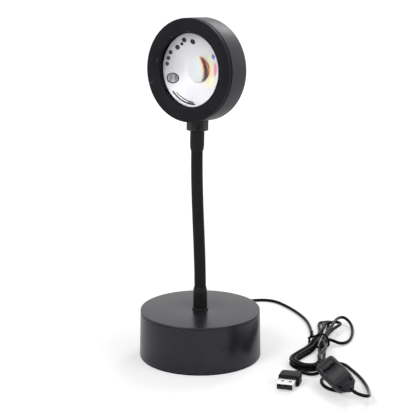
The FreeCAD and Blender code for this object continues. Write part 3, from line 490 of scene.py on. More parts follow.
neck = {"start": 54.0, "length": 103.5, "lean": -2.15, "sway": 3.0, "joints": 8, "radius": 4.4,
        "bendReach": 5.4, "ribPitch": 1.9, "ribDepth": 0.16, "ribRound": 0.6, "ringsPerRib": 8, "sides": 40}
sleeve = {"bore": 4.56, "radius": 5.3, "lip": (0.15, 0.5), "round": 0.35, "lower": 16.3, "seat": 37.7,
          "shrunk": ((5.3, 4.2), (5.22, 3.0), (4.9, 1.2), (4.66, 0.3), (4.56, 0.0))}  # radius, way from end
head = {"yaw": -37.0, "pitch": -4.2, "roll": -1.7, "ferrule": 14.9, "hexHeight": 7.0, "radius": 37.6,
        "depth": 21.2, "hubDepth": 7.7}

headTurn = spin(head["yaw"], "Z") @ spin(head["pitch"], "X") @ spin(head["roll"], "Y")
headUp = headTurn @ Vector((0, 0, 1))
neckStart = Vector((0, 0, neck["start"]))
neckEnd = neckStart + Vector((neck["lean"], neck["sway"], neck["length"]))


def neckPoint(share):
    length = neck["length"]
    stay = 2 * share ** 3 - 3 * share ** 2 + 1
    leave = share ** 3 - 2 * share ** 2 + share
    reach = -2 * share ** 3 + 3 * share ** 2
    arrive = share ** 3 - share ** 2
    return neckStart * stay + Vector((0, 0, length)) * leave + neckEnd * reach + headUp * length * arrive


def makeNeck():
    count = neck["joints"]
    total = int(neck["length"] / neck["ribPitch"] * neck["ringsPerRib"])
    for number in range(count):
        first, last = (int(total * share / count) for share in (number, number + 1))
        path = [neckPoint(step / total) for step in range(first, last + 1)]

        def ribbed(index, angle, first=first):
            turnShare = (first + index) / neck["ringsPerRib"] - angle / math.tau
            wave = abs(math.sin(math.pi * turnShare))
            return neck["radius"] - neck["ribDepth"] * (1 - wave ** neck["ribRound"])

        skin = tubePiece(f"neckSkin{number + 1}", path, ribbed, "neckCoat", neck["sides"])
        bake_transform(skin)
        below = "neck_root" if number == 0 else f"neck_link_{number}"
        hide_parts(below, *(["neck_crown"] if number == count - 1 else []))


def makeSleeve(name, length, place, body, node):
    inset, rise = sleeve["lip"]
    profile = [(sleeve["bore"], 0.0), (sleeve["radius"] - inset, 0.0), (sleeve["radius"], rise)]
    profile += [(radius, length - back) for radius, back in sleeve["shrunk"]]
    turnPiece(name, profile, sleeve["round"], "sleeveSkin", place, 72, (body, "sleeve_black"), node)


makeNeck()
fitting = Matrix.Translation(neckEnd + headUp * head["ferrule"]) @ headTurn
makeSleeve("lowerSleeve", sleeve["lower"], shift(0, 0, sleeve["seat"]), "base", "lower_sleeve")
makeSleeve("upperSleeve", head["ferrule"], fitting @ spin(180, "X"), "head", "upper_sleeve")
print("neck made")

# head: everything is turned about the optical axis, and heights are measured forward from the back face

optical = fitting @ shift(0, head["hubDepth"], head["hexHeight"] + head["radius"]) @ spin(90, "X")
barrel = {"wall": 1.6, "back": 2.0, "rearEdge": 0.9, "edge": 0.72, "seam": 17.8, "seamGap": 0.6,
          "seamDepth": 0.45, "ledge": 12.0, "ledgeRadius": 34.2, "pedestalRadius": 13.0, "pedestal": 3.2,
          "opening": 26.4, "lipUnder": 18.7, "flare": 1.4, "ringRadius": 30.4, "ringStep": 0.36,
          "skirt": (33.6, 35.8, 13.3)}
lensSize = {"radius": 28.2, "back": 14.5, "rim": 18.1, "top": 20.7, "steps": 24}
dish = {"throat": 7.0, "throatHeight": 5.6, "edge": 26.0, "edgeHeight": 12.4,  # rim: on round the back
        "rim": [(26.0, 13.6), (28.5, 13.6), (28.5, 17.6), (29.7, 17.6), (29.7, 13.2), (35.8, 13.2),
                (35.8, 12.0), (27.2, 12.0), (8.0, 4.9)]}
film = {"radius": 9.2, "low": 6.45, "high": 7.25, "chamfer": 0.15}


def makeOpticalGroup():  # millimetres across and up from the optical axis
    group, _, end = newGroup("opticalPlane", {}, ["Across", "Up"])
    toPlane = optical.inverted()
    mapping = addNode(group, "Mapping", {"Vector": objectSpot(group), "Scale": (1000, 1000, 1000),
                                         "Rotation": toPlane.to_euler("XYZ"),
                                         "Location": toPlane.to_translation()})
    split = addNode(group, "SeparateXYZ", {0: mapping.outputs[0]})
    feed(group, end, {"Across": split.outputs[0], "Up": split.outputs[1]})
    return group


opticalGroup = makeOpticalGroup()


def spotMask(tree, across, up, size, soft):  # 1 inside an oval, fading at its edge
    squares = []
    for value, centre, reach in ((across, size[0], size[2]), (up, size[1], size[3])):
        share = mathNode(tree, "DIVIDE", mathNode(tree, "SUBTRACT", value, centre), reach)
        squares.append(mathNode(tree, "MULTIPLY", share, share))
    reach = mathNode(tree, "SQRT", mathNode(tree, "ADD", *squares))
    return rampNode(tree, reach, ((1.0 - soft, 1), (1.0, 0)))


dishLook = {
    "colours": ((0.74, 0.74, 0.78), (0.8, 0.8, 0.82)), "grain": 1400.0, "rough": 0.32,
    "bump": (0.05, 0.00003), "bend": 0.0, "bendAbove": 0.0, "waver": 0.0,
    "spots": [  # painted light and shade in ovals: across, up, half width, half height, softness, colour: the later lie on the earlier
        # painted shade over the dish's left wall
        (-27.0, 5.0, 17.0, 26.0, 0.85, (0.46, 0.46, 0.49)),
        # a painted lighter middle
        (-1.0, 0.0, 12.0, 16.0, 0.9, (0.85, 0.86, 0.9)),
        # painted coloured light thrown by the lens and filter: a warm glow, yellow and green patches, a
        # pink crescent and a blue fleck
        (9.5, 0.0, 9.0, 14.5, 0.8, (0.95, 0.78, 0.48)),
        (13.4, -7.6, 4.4, 5.4, 0.85, (0.93, 0.9, 0.55)),
        (11.0, 7.5, 4.0, 4.5, 0.9, (0.86, 0.92, 0.72)),
        (16.2, 1.0, 2.2, 5.4, 0.3, (0.88, 0.26, 0.42)),
        (14.6, 9.9, 2.0, 2.1, 0.3, (0.008, 0.12, 0.5)),
    ],
}
filmLook = {
    # the film's greys sit a little below the dish's: painted shade that evens out the extra light its flat
    # face catches
    "colours": ((0.7, 0.7, 0.74), (0.76, 0.76, 0.79)), "grain": 700.0, "rough": 0.3,
    "bump": (0.03, 0.00002), "bend": 0.05, "bendAbove": 1.2, "waver": 1.2,
    "spots": [
        # painted coloured light thrown by the lens and filter: a pale middle, an orange, red and maroon
        # crescent, and teal and orange flecks
        (0.5, 0.0, 5.5, 12.0, 0.95, (0.72, 0.8, 0.82)),
        (7.6, 0.0, 5.8, 14.0, 0.7, (0.93, 0.78, 0.42)),
        (7.6, 0.0, 3.9, 12.5, 0.4, (0.82, 0.34, 0.08)),
        (7.8, 0.0, 2.9, 11.4, 0.3, (0.17, 0.02, 0.03)),
        (7.2, 0.0, 1.5, 9.0, 0.5, (0.022, 0.005, 0.005)),
        (6.0, -6.0, 0.9, 3.6, 0.6, (0.03, 0.26, 0.32)),
        (9.0, 1.5, 0.6, 5.5, 0.6, (0.72, 0.26, 0.07)),
    ],
}
lensLook = {"colours": ((0.97, 0.975, 0.98), (0.99, 0.99, 0.99)), "grain": 500.0, "dust": 0.05,
            "dustRough": 0.4, "bump": (0.02, 0.00001),
            "index": 1.34}  # as if coated: a plain 1.49 hazes the dark vents


def paintedLightAndShadeMaterial(name, look):  # painted light and shade: the colours that the lens and filter throw, painted over a white piece
    material, tree, shader, height, mask = grainedMaterial(name, Scale=look["grain"])
    plane = placeGroup(tree, opticalGroup)
    up = plane.outputs["Up"]
    lift = mathNode(tree, "ADD", up, look["bendAbove"])
    bent = mathNode(tree, "MULTIPLY_ADD", mathNode(tree, "MULTIPLY", lift, lift), look["bend"],
                    plane.outputs["Across"])
    waver = mathNode(tree, "MULTIPLY_ADD", height, look["waver"], -look["waver"] / 2)
    across = mathNode(tree, "ADD", bent, waver)
    colour = mixColour(tree, mask, *look["colours"])
    for *size, soft, tint in look["spots"]:
        colour = mixColour(tree, spotMask(tree, across, up, size, soft), colour, tint)
    feed(tree, shader, {"Base Color": colour, "Roughness": look["rough"]})
    addBump(tree, shader, height, *look["bump"])
    return material


def lensMaterial(name, look):  # moulded clear lens with a trace of dust
    material, tree, shader, height, mask = grainedMaterial(name, Scale=look["grain"])
    dust = placeGroup(tree, dustGroup, Amount=look["dust"]).outputs["Mask"]
    feed(tree, shader, {"Base Color": mixColour(tree, mask, *look["colours"]),
                        "Roughness": mathNode(tree, "MULTIPLY", dust, look["dustRough"]),
                        "Transmission Weight": 1.0, "IOR": look["index"]})
    addBump(tree, shader, height, *look["bump"])
    return material


materials["reflectorWhite"] = paintedLightAndShadeMaterial("reflectorWhite", dishLook)
materials["colourFilm"] = paintedLightAndShadeMaterial("colourFilm", filmLook)
materials["clearLens"] = lensMaterial("clearLens", lensLook)


def makeBarrel():
    home = ("head", "head_black")
    radius = head["radius"]
    depth = head["depth"]
    seam = barrel["seam"] - barrel["seamGap"]
    housing = [(0.0, 0.0), (radius, 0.0), (radius, seam), (radius - barrel["wall"], seam),
               (radius - barrel["wall"], barrel["ledge"]), (barrel["ledgeRadius"], barrel["ledge"]),
               (barrel["ledgeRadius"], barrel["back"]), (barrel["pedestalRadius"], barrel["back"]),
               (barrel["pedestalRadius"], barrel["pedestal"]), (0.0, barrel["pedestal"])]
    corners = [0, barrel["rearEdge"], 0.3, 0.1, 0.1, 0.1, 0.5, 0.3, 0.2, 0]
    turnPiece("headHousing", housing, corners, "headCoat", optical, 192, home, "head_housing")
    seam = barrel["seam"] + barrel["seamGap"]
    inner = barrel["opening"]
    ring = barrel["ringRadius"]
    sunk = depth - barrel["ringStep"]
    skirtIn, skirtOut, skirtEnd = barrel["skirt"]
    face = [(inner, barrel["lipUnder"]), (inner + 0.5, depth - 1.2),
            (inner + barrel["flare"], depth - 0.35), (ring - 1.2, sunk), (ring - 0.3, sunk),
            (ring, depth), (radius, depth), (radius, seam),
            (skirtOut, seam), (skirtOut, skirtEnd), (skirtIn, skirtEnd), (skirtIn, barrel["lipUnder"])]
    corners = [0.1, 0.4, 0.4, 0.2, 0.15, 0.2, barrel["edge"], 0.45, 0.1, 0.1, 0.1, 0.1]
    turnPiece("frontBezel", face, corners, "bezelCoat", optical, 192, home, "front_bezel")
    # a black strip in the gap between bezel and housing: painted shade, darker than the coats on either
    # side
    low, high = (barrel["seam"] + side * (barrel["seamGap"] - 0.05) for side in (-1, 1))
    inner = skirtOut - 0.2
    outer = radius - barrel["seamDepth"]
    seamShade = [(inner, low), (outer, low), (outer, high), (inner, high)]
    turnPiece("seamShadeStrip", seamShade, 0, "ventBlack", optical, 192, home)


def makeOptics():
    radius = lensSize["radius"]
    rise = lensSize["top"] - lensSize["rim"]
    bend = (radius ** 2 + rise ** 2) / 2 / rise  # the radius of the lens's bulge
    outline = [(0.0, lensSize["back"]), (radius - 0.3, lensSize["back"]), (radius, lensSize["back"] + 0.3),
               (radius, lensSize["rim"] - 0.15)]
    for step in range(lensSize["steps"] + 1):
        out = (radius - 0.15) * (1 - step / lensSize["steps"])
        outline.append((out, lensSize["top"] - (bend - math.sqrt(bend ** 2 - out ** 2))))
    glass = turnPiece("frontLens", outline, 0, "clearLens", optical, 160, ("head", "lens_glass"), "lens")
    glass.visible_shadow = False
    cone = [(dish["throat"], dish["throatHeight"]), (dish["edge"], dish["edgeHeight"])] + dish["rim"]
    turnPiece("lensHolder", cone, [0.2, 0.5, 0.3, 0.2, 0.3, 0.3, 0.2, 0.2, 0.2, 0.3, 0.1], "reflectorWhite",
              optical, 160, ("head", "holder_white"), "lens_holder")
    wide, low, high, slant = film["radius"], film["low"], film["high"], film["chamfer"]
    disc = [(0.0, low), (wide - slant, low), (wide, low + slant), (wide, high - slant),
            (wide - slant, high), (0.0, high)]
    turnPiece("colourFilter", disc, 0, "colourFilm", optical, 96, ("head", "filter_film"), "colour_filter")


dishMarks = {
    "vents": [(22.8, 115, 1.9), (19.8, 98, 2.1), (21.3, 124, 1.25), (21.7, 136, 1.9), (24.0, 152, 1.6),
              (24.1, 163, 1.5), (24.2, 173, 1.5)],  # way out, angle, radius
    "window": [  # name, finish, way out, angle, turn, half width, half height, rim, rise
        ("windowRim", "ventBlack", 20.8, 200, -20, 5.0, 3.9, 0.09, 0.16),
        ("windowPane", "windowGrey", 20.8, 200, -20, 4.1, 3.12, 0.05, 0.2)],
    "patch": ("slotPatch", "patchBrown", 23.6, 264, 90, 2.9, 1.0, 0.2, 0.1),
    "slots": [(24.6, 222, 274, 0.55), (22.9, 228, 268, 0.32)],  # way out, from, to, thickness
    "slotSteps": 40, "slotLift": 0.02,
}


def dishPlace(radius, angle, lift=0.0):  # a spot on the dish, with its own level and its normal as Z
    slope = (dish["edgeHeight"] - dish["throatHeight"]) / (dish["edge"] - dish["throat"])
    height = dish["throatHeight"] + slope * (radius - dish["throat"])
    tilt = Matrix.Rotation(-math.atan(slope), 4, "Y")
    return optical @ spin(angle, "Z") @ shift(radius, 0, height) @ tilt @ shift(0, 0, lift)


def makeOval(name, finish, radius, angle, turn, wide, tall, rim, height):  # a low button with a soft rim
    place = dishPlace(radius, angle) @ spin(turn, "Z")
    rings = [(1.0, -0.15), (1.0, height * 0.6), (1.0 - rim * 0.5, height), (1.0 - rim, height * 0.85)]
    outline = circleOutline(1.0, 48)
    points = [(wide * share * x, tall * share * y, level) for share, level in rings for x, y in outline]
    piece = meshPiece(name, points, skinFaces(len(rings), len(outline)), finish, place)
    carry(piece, "head", "holder_white")


def makeDishMarks():  # vents, a grey window and dark slots in the reflector
    for index, (radius, angle, size) in enumerate(dishMarks["vents"]):
        cup = [(0.0, 0.04), (size - 0.1, 0.07), (size, 0.02), (size, -0.25), (0.0, -0.25)]
        turnPiece(f"dishVent{index + 1}", cup, [0, 0.05, 0.05, 0.05, 0], "ventBlack",
                  dishPlace(radius, angle), 32, ("head", "holder_white"))
    for row in dishMarks["window"]:
        makeOval(*row)
    steps = dishMarks["slotSteps"]
    for index, (radius, first, last, thick) in enumerate(dishMarks["slots"]):
        angles = [first + (last - first) * step / steps for step in range(steps + 1)]
        path = [dishPlace(radius, angle, dishMarks["slotLift"]).to_translation() for angle in angles]
        slot = tubePiece(f"dishSlot{index + 1}", path, lambda ring, turn, t=thick: t, "ventBlack", 12)
        carry(slot, "head", "holder_white")
    makeOval(*dishMarks["patch"])


nut = {"flats": 14.2, "height": 8.2, "turn": -22.0, "edge": 0.55, "level": 3.5, "hole": 1.9,
       "holeDepth": 2.0, "sunk": 0.8, "socket": 0.9, "socketDepth": 0.8}


def makeFitting():  # the hexagonal fitting, with its set screw in the side that faces forward
    place = fitting @ spin(nut["turn"], "Z")
    body = prism("hexFitting", circleOutline(nut["flats"] / math.sqrt(3), 6), 0.0, nut["height"], place,
                 "fittingCoat")
    softenEdges(body, nut["edge"])
    face = place @ spin(-30, "Z") @ shift(nut["flats"] / 2, 0, nut["level"]) @ spin(90, "Y")
    carve(body, circleOutline(nut["hole"], 32), -nut["holeDepth"], 1.0, face)
    carry(body, "head", "head_black", "hex_fitting")
    screw = prism("setScrew", circleOutline(nut["hole"] - 0.1, 32), 0.1 - nut["holeDepth"], -nut["sunk"],
                  face, "fittingCoat")
    carve(screw, circleOutline(nut["socket"], 6), -nut["sunk"] - nut["socketDepth"], 0.0, face)
    carry(screw, "head", "head_black", "set_screw")


makeBarrel()
makeOptics()
makeDishMarks()
makeFitting()
print("head made")

# in-line switch, tipped on its edge as it lies

switch = {"size": (42.4, 16.0, 8.5), "split": 4.5, "joint": 0.06,
          "spot": (99.9, -95.0, 2.7), "heading": (-0.312, 0.95, 0.03), "roll": -36.0,
          "taper": (10.0, 3.0), "rounds": (4.0, 9.0, 3.0, 3.0, 9.0, 4.0), "keel": (3.47, 0.487),
          "lowerEdge": 0.3, "upperEdge": 1.7, "step": (7.9, 1.5), "grooveShade": (0.3, 5.8, 2.6, 0.08),
          "buttonPlace": 30.4, "buttonLength": 10.5, "buttonWidth": 4.4, "buttonGap": 0.25,
          "buttonDepth": 1.3, "proud": 1.2, "buttonEdge": 0.7,
          "ribs": ((6.3, 5.4, 0.1), (4.5, 4.9, -0.1), (2.7, 4.3, -0.35), (0.95, 3.6, -0.7)),
          "ribWidth": 1.0, "ribRound": 0.45, "ribEdge": 0.22,
          "foot": 2.2}  # how deep the ribs and the button reach
relief = {"length": 5.0, "bore": 1.3, "rings": 3, "radius": 4.0, "thinning": 0.55, "first": 0.22,
          "pitch": 0.24, "depth": 0.9, "round": 0.18}


def switchFrame():
    far = Vector(switch["heading"]).normalized()
    side = Vector((0, 0, 1)).cross(far).normalized()
    turned = Matrix((far, side, far.cross(side))).transposed().to_4x4()
    return Matrix.Translation(switch["spot"]) @ turned @ spin(switch["roll"], "X")


switchPlace = switchFrame()
switchMiddle = switch["size"][1] / 2


def middleOblong(near, far, half, corner):  # an outline that lies across the switch's middle
    return oblong((near, -switchMiddle - half), (far, -switchMiddle + half), corner)


def makeSwitch():
    home = ("base", "switch_black")
    length, width, top = switch["size"]
    split, joint = switch["split"], switch["joint"]
    taper, nose = switch["taper"]
    rise, slant = switch["keel"]  # the underside is cut away near the cord
    corners = [(length, 0), (taper, 0), (0, -nose), (0, nose - width), (taper, -width), (length, -width)]
    outline = roundCorners(corners, switch["rounds"], steps=9)
    lower = prism("switchLower", outline, 0, split - joint, switchPlace, "switchShell",
                  lambda x: rise - slant * x)
    carry(softenEdges(lower, switch["lowerEdge"]), *home, "switch_lower")
    upper = prism("switchUpper", outline, split + joint, top, switchPlace, "switchShell")
    softenEdges(upper, switch["upperEdge"], 5)
    wide = switch["buttonWidth"] / 2
    tall = switch["buttonLength"] / 2
    place = switch["buttonPlace"]
    slot = middleOblong(place - wide, place + wide, tall, wide)
    carve(upper, slot, top - switch["buttonDepth"], top + 1, switchPlace)
    reach, drop = switch["step"]
    floor = top - drop
    carve(upper, [(-1, -width - 1), (reach, -width - 1), (reach, 1), (-1, 1)], floor, top + 1, switchPlace)
    carry(upper, *home, "switch_upper")
    half = switch["ribWidth"] / 2
    foot = top - switch["foot"]
    for index, (at, side, proud) in enumerate(switch["ribs"]):  # lower and shorter towards the cord
        bar = middleOblong(at - half, at + half, side, switch["ribRound"])
        ridge = prism(f"switchRidge{index + 1}", bar, foot, top + proud, switchPlace, "switchShell")
        carry(softenEdges(ridge, switch["ribEdge"]), *home)
    near, side, corner, lift = switch["grooveShade"]  # a black sheet on the floor between the ribs: painted shade in the recess
    pit = middleOblong(near, reach - 0.05, side, corner)
    grooveShadePiece = prism("switchGrooveShade", pit, floor - 0.6, floor + lift, switchPlace, "ventBlack")
    carry(softenEdges(grooveShadePiece, 0.05, 1), *home)
    wide -= switch["buttonGap"]
    pad = middleOblong(place - wide, place + wide, tall - switch["buttonGap"], wide - 0.05)
    cap = prism("switchCap", pad, foot, top + switch["proud"], switchPlace, "buttonCap")
    carry(softenEdges(cap, switch["buttonEdge"], 4), "button", "button_black", "switch_button")


def makeReliefs():  # ribbed sleeves where the cord enters the switch
    length = relief["length"]
    bore = relief["bore"]
    profile = [(bore, 0.0), (relief["radius"], 0.0)]
    for index in range(relief["rings"]):
        rib = relief["radius"] - relief["thinning"] * index
        deep = rib - relief["depth"]
        at = length * (relief["first"] + relief["pitch"] * index)
        profile += [(rib, at - 0.4), (deep, at - 0.2), (deep, at + 0.3)]
    profile += [(2.1, length - 1), (1.9, length), (bore, length)]
    for name, node, start, turn in (("reliefNear", "relief_near", 0.0, 180),
                                    ("reliefFar", "relief_far", switch["size"][0], 0)):
        place = switchPlace @ shift(start, -switchMiddle, switch["split"]) @ spin(turn, "Z") @ spin(90, "Y")
        turnPiece(name, profile, relief["round"], "switchShell", place, 48, ("base", "switch_black"), node)


makeSwitch()
makeReliefs()

# plug

plug = {"spot": (63.5, -65.6, 4.0), "turn": math.degrees(math.atan2(-0.96, -0.28)), "length": 12.0,
        "width": 15.5, "height": 8.0, "corners": (1.7, 3.6), "edge": 1.6, "opening": (12.0, 4.5, 4.0),
        "relief": [(1.3, 0.0), (2.9, 0.0), (2.6, 0.7), (2.2, 0.8), (2.2, 1.2), (2.3, 1.3), (2.2, 1.8),
                   (1.85, 1.9), (1.85, 2.5), (1.3, 2.5)], "reliefRound": 0.12}
plugPlace = shift(*plug["spot"]) @ spin(plug["turn"], "Z")


def makePlug():
    home = ("base", "switch_black")
    half = plug["width"] / 2
    tall = plug["height"] / 2
    front, rear = plug["corners"]
    outline = roundCorners([(-plug["length"], -half), (0, -half), (0, half), (-plug["length"], half)],
                           [rear, front, front, rear], steps=8)
    mold = prism("plugMold", outline, -tall, tall, plugPlace, "plugShell")
    softenEdges(mold, plug["edge"], 5)
    half, tall, depth = plug["opening"][0] / 2, plug["opening"][1] / 2, plug["opening"][2]
    carve(mold, [(-depth, -half), (1, -half), (1, half), (-depth, half)], -tall, tall, plugPlace)
    carry(mold, *home, "usb_overmold")
    place = plugPlace @ shift(-plug["length"], 0, 0) @ spin(-90, "Y")
    turnPiece("plugRelief", plug["relief"], plug["reliefRound"], "plugShell", place, 40, home,
              "plug_relief")


makePlug()
print("switch and plug made")

# nodes that show as they are

plainNodes = {
    "bareSteel": ["base_plate", "base_screws", "stem_nut", "head_lock_nut"],
    "castIron": ["base_weight"],
    "fittingCoat": ["lower_ferrule", "upper_ferrule"],
    "footRubber": ["lens_gasket"],
    "screwSteel": ["board_screws"],
    "boardWhite": ["led_board"],
    "phosphor": ["led_chip"],
    "boardGreen": ["switch_board"],
    "brightMetal": ["usb_shell"],
    "tonguePlastic": ["usb_tongue"],
    "goldPlate": ["usb_contacts"],
    "cordSkin": ["base_lead", "head_lead"] + [f"neck_wire_{index}" for index in range(neck["joints"] + 1)],
}
for finish, names in plainNodes.items():
    for name in names:
        slots = nodes[name].data.materials
        slots.clear()
        slots.append(materials[finish])

# cord: the routes' points are in millimetres and are scaled once

cord = {"diameter": 2.5, "low": 1.3, "waistLift": 1.4, "step": 3.25, "spread": 3.4, "pinch": 1.8,
        "waist": ((91, 11, 0), (0.243, 0.97, 0), (0.97, -0.243, 0)),  # its middle, and its up and right
        "drop": 49, "lowerBow": 25, "lowerAim": (0.285, 0.958, 0), "skew": 0.37,  # the loops below the tie
        "reach": (59, 53, 47, 44), "lean": (0.145, 0.225, 0.39, 0.2), "upperBow": 14.5,  # and above it
        "rise": (0, 2.6, 2.0, 0), "spreads": (1, 0, 0, 1), "layers": (0, 0, 1, 1),
        "handOver": (300, 300, 285, 360), "fade": (195, 45), "ramp": 22, "ease": 12, "joins": (14, 6),
        "over": ((4.5, 16, 8.8), (2.2, 0, 8.8)), "switchEnds": (57.4, 46.8, -4.4, -10.6),
        "plugEnds": (-19.5, -13.9),
        "angles": (0, 14, 30, 60, 90, 120, 150, 166, 180, 195, 210, 225, 240, 255, 270, 285, 300, 315, 330,
                   345)}
tie = {"wide": 7.2, "bottom": 0.9, "radius": 0.8}
waist, waistUp, waistRight = (Vector(spot) for spot in cord["waist"])
low = cord["low"]
routes = {
    "lead": [(0, 41.8, 7), (0, 66, 7), (4.6, 89, 4.6), (15, 107, low), (31, 120, low), (49, 127, low),
             (62, 124, low), (72, 109, low), (80, 92, low), (85.8, 74, low), (87.6, 56, low),
             (87.5, 40, low)],
    "bight": [(101.2, 18.8, 4.5), (108.2, 16, 2.2), (115, 23, low), (119, 36, low), (120.9, 50.5, 1.8),
              (120, 64, 3.4), (115.6, 72, 5), (109.4, 63, 6.8), (105, 45, 8.9)],
    "toSwitch": [(94.6, -7, 9.4), (94, -18, 11), (90.3, -28.5, 12.2)],
    "tail": [(112.7, -105.6, 9), (116.9, -102.4, 7.5), (118.2, -93, 5), (119, -81, 2.6),
             (119.2, -68.5, low), (116.5, -52, low), (111.5, -36.5, low), (107, -24, low),
             (98.8, -22.6, low), (95.6, -29.7, low), (96.2, -39.6, low), (91.5, -48.5, low),
             (87.2, -57, low), (88, -67.5, low), (93, -75.5, low), (101, -78.8, low), (107.5, -73.8, low),
             (110.3, -63, low), (110, -51, low), (105.6, -43, 1.4), (98.5, -42.4, 4.55),
             (91.5, -43.6, 4.55), (85.2, -46.2, 1.8), (80, -45.6, low), (75.1, -43.5, 1.9)],
}


def atWaist(side, along, height):
    return waist + waistRight * side + waistUp * along + Vector((0, 0, height))


def onSwitch(along):  # a spot on the line that the cord enters the switch by
    return switchPlace @ Vector((along, -switchMiddle, switch["split"]))


def onPlug(along):
    return plugPlace @ Vector((along, 0, 0))


def hankPlan(angle, number):  # a turn of the hank seen from above, before it is spread
    sine = math.sin(math.radians(angle))
    cosine = math.cos(math.radians(angle))
    pinch = cord["pinch"]
    if sine >= 0 and angle <= 180:
        side = -cosine * (pinch + cord["lowerBow"] * sine ** 2) - pinch * sine ** 2
        height = -cord["drop"] * sine - cord["skew"] * side * sine
        up = Vector(cord["lowerAim"])
    else:  # the upper loops are narrow and fan out
        side = -cosine * (pinch + cord["upperBow"] * sine ** 6)
        height = cord["reach"][number] * abs(sine)
        up = Vector((cord["lean"][number], 0.96, 0)).normalized()
    share = min(1.0, abs(height) / cord["ease"])
    up = (waistUp * (1 - share) + up * share).normalized()
    return waist + up * height + Vector((up.y, -up.x, 0)) * side


def hankPoints():
    points = []
    for number in range(4):
        for angle in cord["angles"]:
            if number == 3 and angle > 180:
                break
            ahead = number + (angle > cord["handOver"][number])  # the loop whose side and level are taken
            spread = cord["spreads"][ahead]
            if ahead == 0 and angle > 180:
                start, length = cord["fade"]
                spread = max(0.0, 1 - (angle - start) / length)
            layer = cord["layers"][ahead]
            way = (hankPlan(angle + 3, number) - hankPlan(angle - 3, number)).normalized()
            if angle in (0, 180):
                way = waistUp * (-1 if angle == 0 else 1)
            spot = hankPlan(angle, number) + Vector((way.y, -way.x, 0)) * spread * cord["spread"]
            lift = cord["waistLift"] if angle in (0, 180) else 0.0
            if angle > 180:
                climb = min(1.0, (angle - 180) / cord["ramp"], (360 - angle) / cord["ramp"])
                drop = (layer - cord["layers"][number]) * cord["step"]
                lift += (cord["rise"][number] - drop) * climb
            points.append(Vector((spot.x, spot.y, low + layer * cord["step"] + lift)))
    return points


def cordCurve(name, route):
    piece = splineObject(name, route, 0.001, 10)
    piece.data.bevel_depth = cord["diameter"] * 0.0005
    piece.data.bevel_resolution = 6
    piece.data.use_fill_caps = True
    piece.data.materials.append(materials["cordSkin"])
    return piece


def makeCords():
    turns = hankPoints()
    lead, bight, toSwitch, tail = ([Vector(spot) for spot in route] for route in routes.values())
    first, last = cord["joins"]
    lead.append(turns[0] + waistUp * first - Vector((0, 0, cord["waistLift"])))
    ends = [onSwitch(along) for along in cord["switchEnds"]]
    bight = [turns[-1] + waistUp * last] + bight + [atWaist(*spot) for spot in cord["over"]]
    bight += toSwitch + ends[:2]
    tail = ends[2:] + tail + [onPlug(along) for along in cord["plugEnds"]]
    main = cordCurve("mainCord", lead + turns + bight)
    carry(main, "base", "cord_black", "cord_lead", "cord_hank", "cord_bight")
    tailPiece = cordCurve("plugCord", tail)
    carry(tailPiece, "base", "cord_black", "cord_tail")


def makeTie():  # once round the hank, with its ends crossed on top
    wide = tie["wide"]
    bottom = tie["bottom"]
    route = [atWaist(*spot) for spot in (
        (-wide - 1.8, 3.6, 6.6), (-wide, 3.3, 7.8), (-3, 2.9, 9.2), (0.6, 2.5, 11.5), (4.4, 2, 11.3),
        (wide + 0.3, 1.6, 7.4), (wide + 0.3, 1.4, bottom), (-wide - 0.6, 1, bottom),
        (-wide - 0.6, 0.8, 6.8), (-wide + 0.6, 1.8, 9.6), (-wide + 1.2, 4.2, 12.6))]
    band = tubePiece("cordTie", curvePath(route), lambda ring, turn: tie["radius"], "tieSkin", 16)
    carry(band, "base", "tie_black", "cord_tie")


makeCords()
makeTie()
print("cords made")

# floor, light and camera

studio = {"reach": 4.0, "floorColour": (0.82, 0.82, 0.82), "floorRough": 0.9, "floorShine": 0.1,
          "glowRamp": (0.3, 1.0), "nearGlow": 0.34, "farGlow": 0.64, "mirrorGlow": 0.16, "worldFill": 0.5,
          "aim": (0, 0, 0.12),  # then for each lamp its place, size and power
          "lamps": {"keyLamp": ((-0.75, -0.9, 1.15), 0.6, 7.5), "fillLamp": ((0.95, -0.6, 0.8), 0.7, 3.0),
                    "backLamp": ((0.5, 0.9, 1.0), 0.5, 4.0)},
          "camera": (0.0074, -1.0, 0.375), "cameraTilt": 75.33, "lens": 119.66}


def seenRays(tree):  # rays straight from the camera, and those that come by a mirror or glass
    rays = addNode(tree, "LightPath").outputs
    mirrored = mathNode(tree, "MAXIMUM", rays["Is Glossy Ray"], rays["Is Transmission Ray"])
    return rays["Is Camera Ray"], mirrored


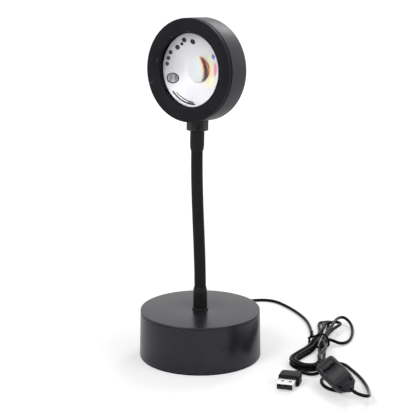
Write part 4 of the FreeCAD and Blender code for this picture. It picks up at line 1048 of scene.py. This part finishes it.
def makeFloor():
    mesh = bpy.data.meshes.new("studioFloor")
    reach = studio["reach"]
    mesh.from_pydata([(-reach, -reach, 0), (reach, -reach, 0), (reach, reach, 0), (-reach, reach, 0)], [],
                     [(0, 1, 2, 3)])
    material, tree, shader = newMaterial("studioPaper")
    away = addNode(tree, "VectorMath", {0: objectSpot(tree)})
    away.operation = "LENGTH"  # the lamps fade with distance, so the glow makes up for it
    near, far = studio["glowRamp"]
    glow = rampNode(tree, away.outputs["Value"], ((near, studio["nearGlow"]), (far, studio["farGlow"])))
    straight, mirrored = seenRays(tree)
    glow = mathNode(tree, "MAXIMUM", mathNode(tree, "MULTIPLY", straight, glow),
                    mathNode(tree, "MULTIPLY", mirrored, studio["mirrorGlow"]))
    feed(tree, shader, {"Base Color": studio["floorColour"], "Roughness": studio["floorRough"],
                        "Specular IOR Level": studio["floorShine"], "Emission Color": (1, 1, 1),
                        "Emission Strength": glow})
    mesh.materials.append(material)
    addObject("studioFloor", mesh)


def makeWorld():
    scene.world = bpy.data.worlds.new("studioWorld")
    scene.world.use_nodes = True
    tree = scene.world.node_tree
    fill = studio["worldFill"]
    seen = mathNode(tree, "MAXIMUM", *seenRays(tree))
    feed(tree, tree.nodes["Background"], {"Color": (1, 1, 1),
                                          "Strength": mathNode(tree, "MULTIPLY_ADD", seen, 1 - fill, fill)})


def makeLamps():
    for name, (spot, size, power) in studio["lamps"].items():
        data = bpy.data.lights.new(name, "AREA")
        data.size = size
        data.energy = power
        lamp = addObject(name, data)
        lamp.location = spot
        aim = Vector(studio["aim"]) - Vector(spot)
        lamp.rotation_euler = aim.to_track_quat("-Z", "Y").to_euler()


def makeCamera():
    data = bpy.data.cameras.new("studioCamera")
    data.sensor_width = 36.0
    data.lens = studio["lens"]
    data.clip_end = 20.0
    camera = addObject("studioCamera", data)
    camera.location = studio["camera"]
    camera.rotation_euler = (math.radians(studio["cameraTilt"]), 0, 0)
    scene.camera = camera
    scene.view_settings.view_transform = "Standard"


makeFloor()
makeWorld()
makeLamps()
makeCamera()
print("studio made")
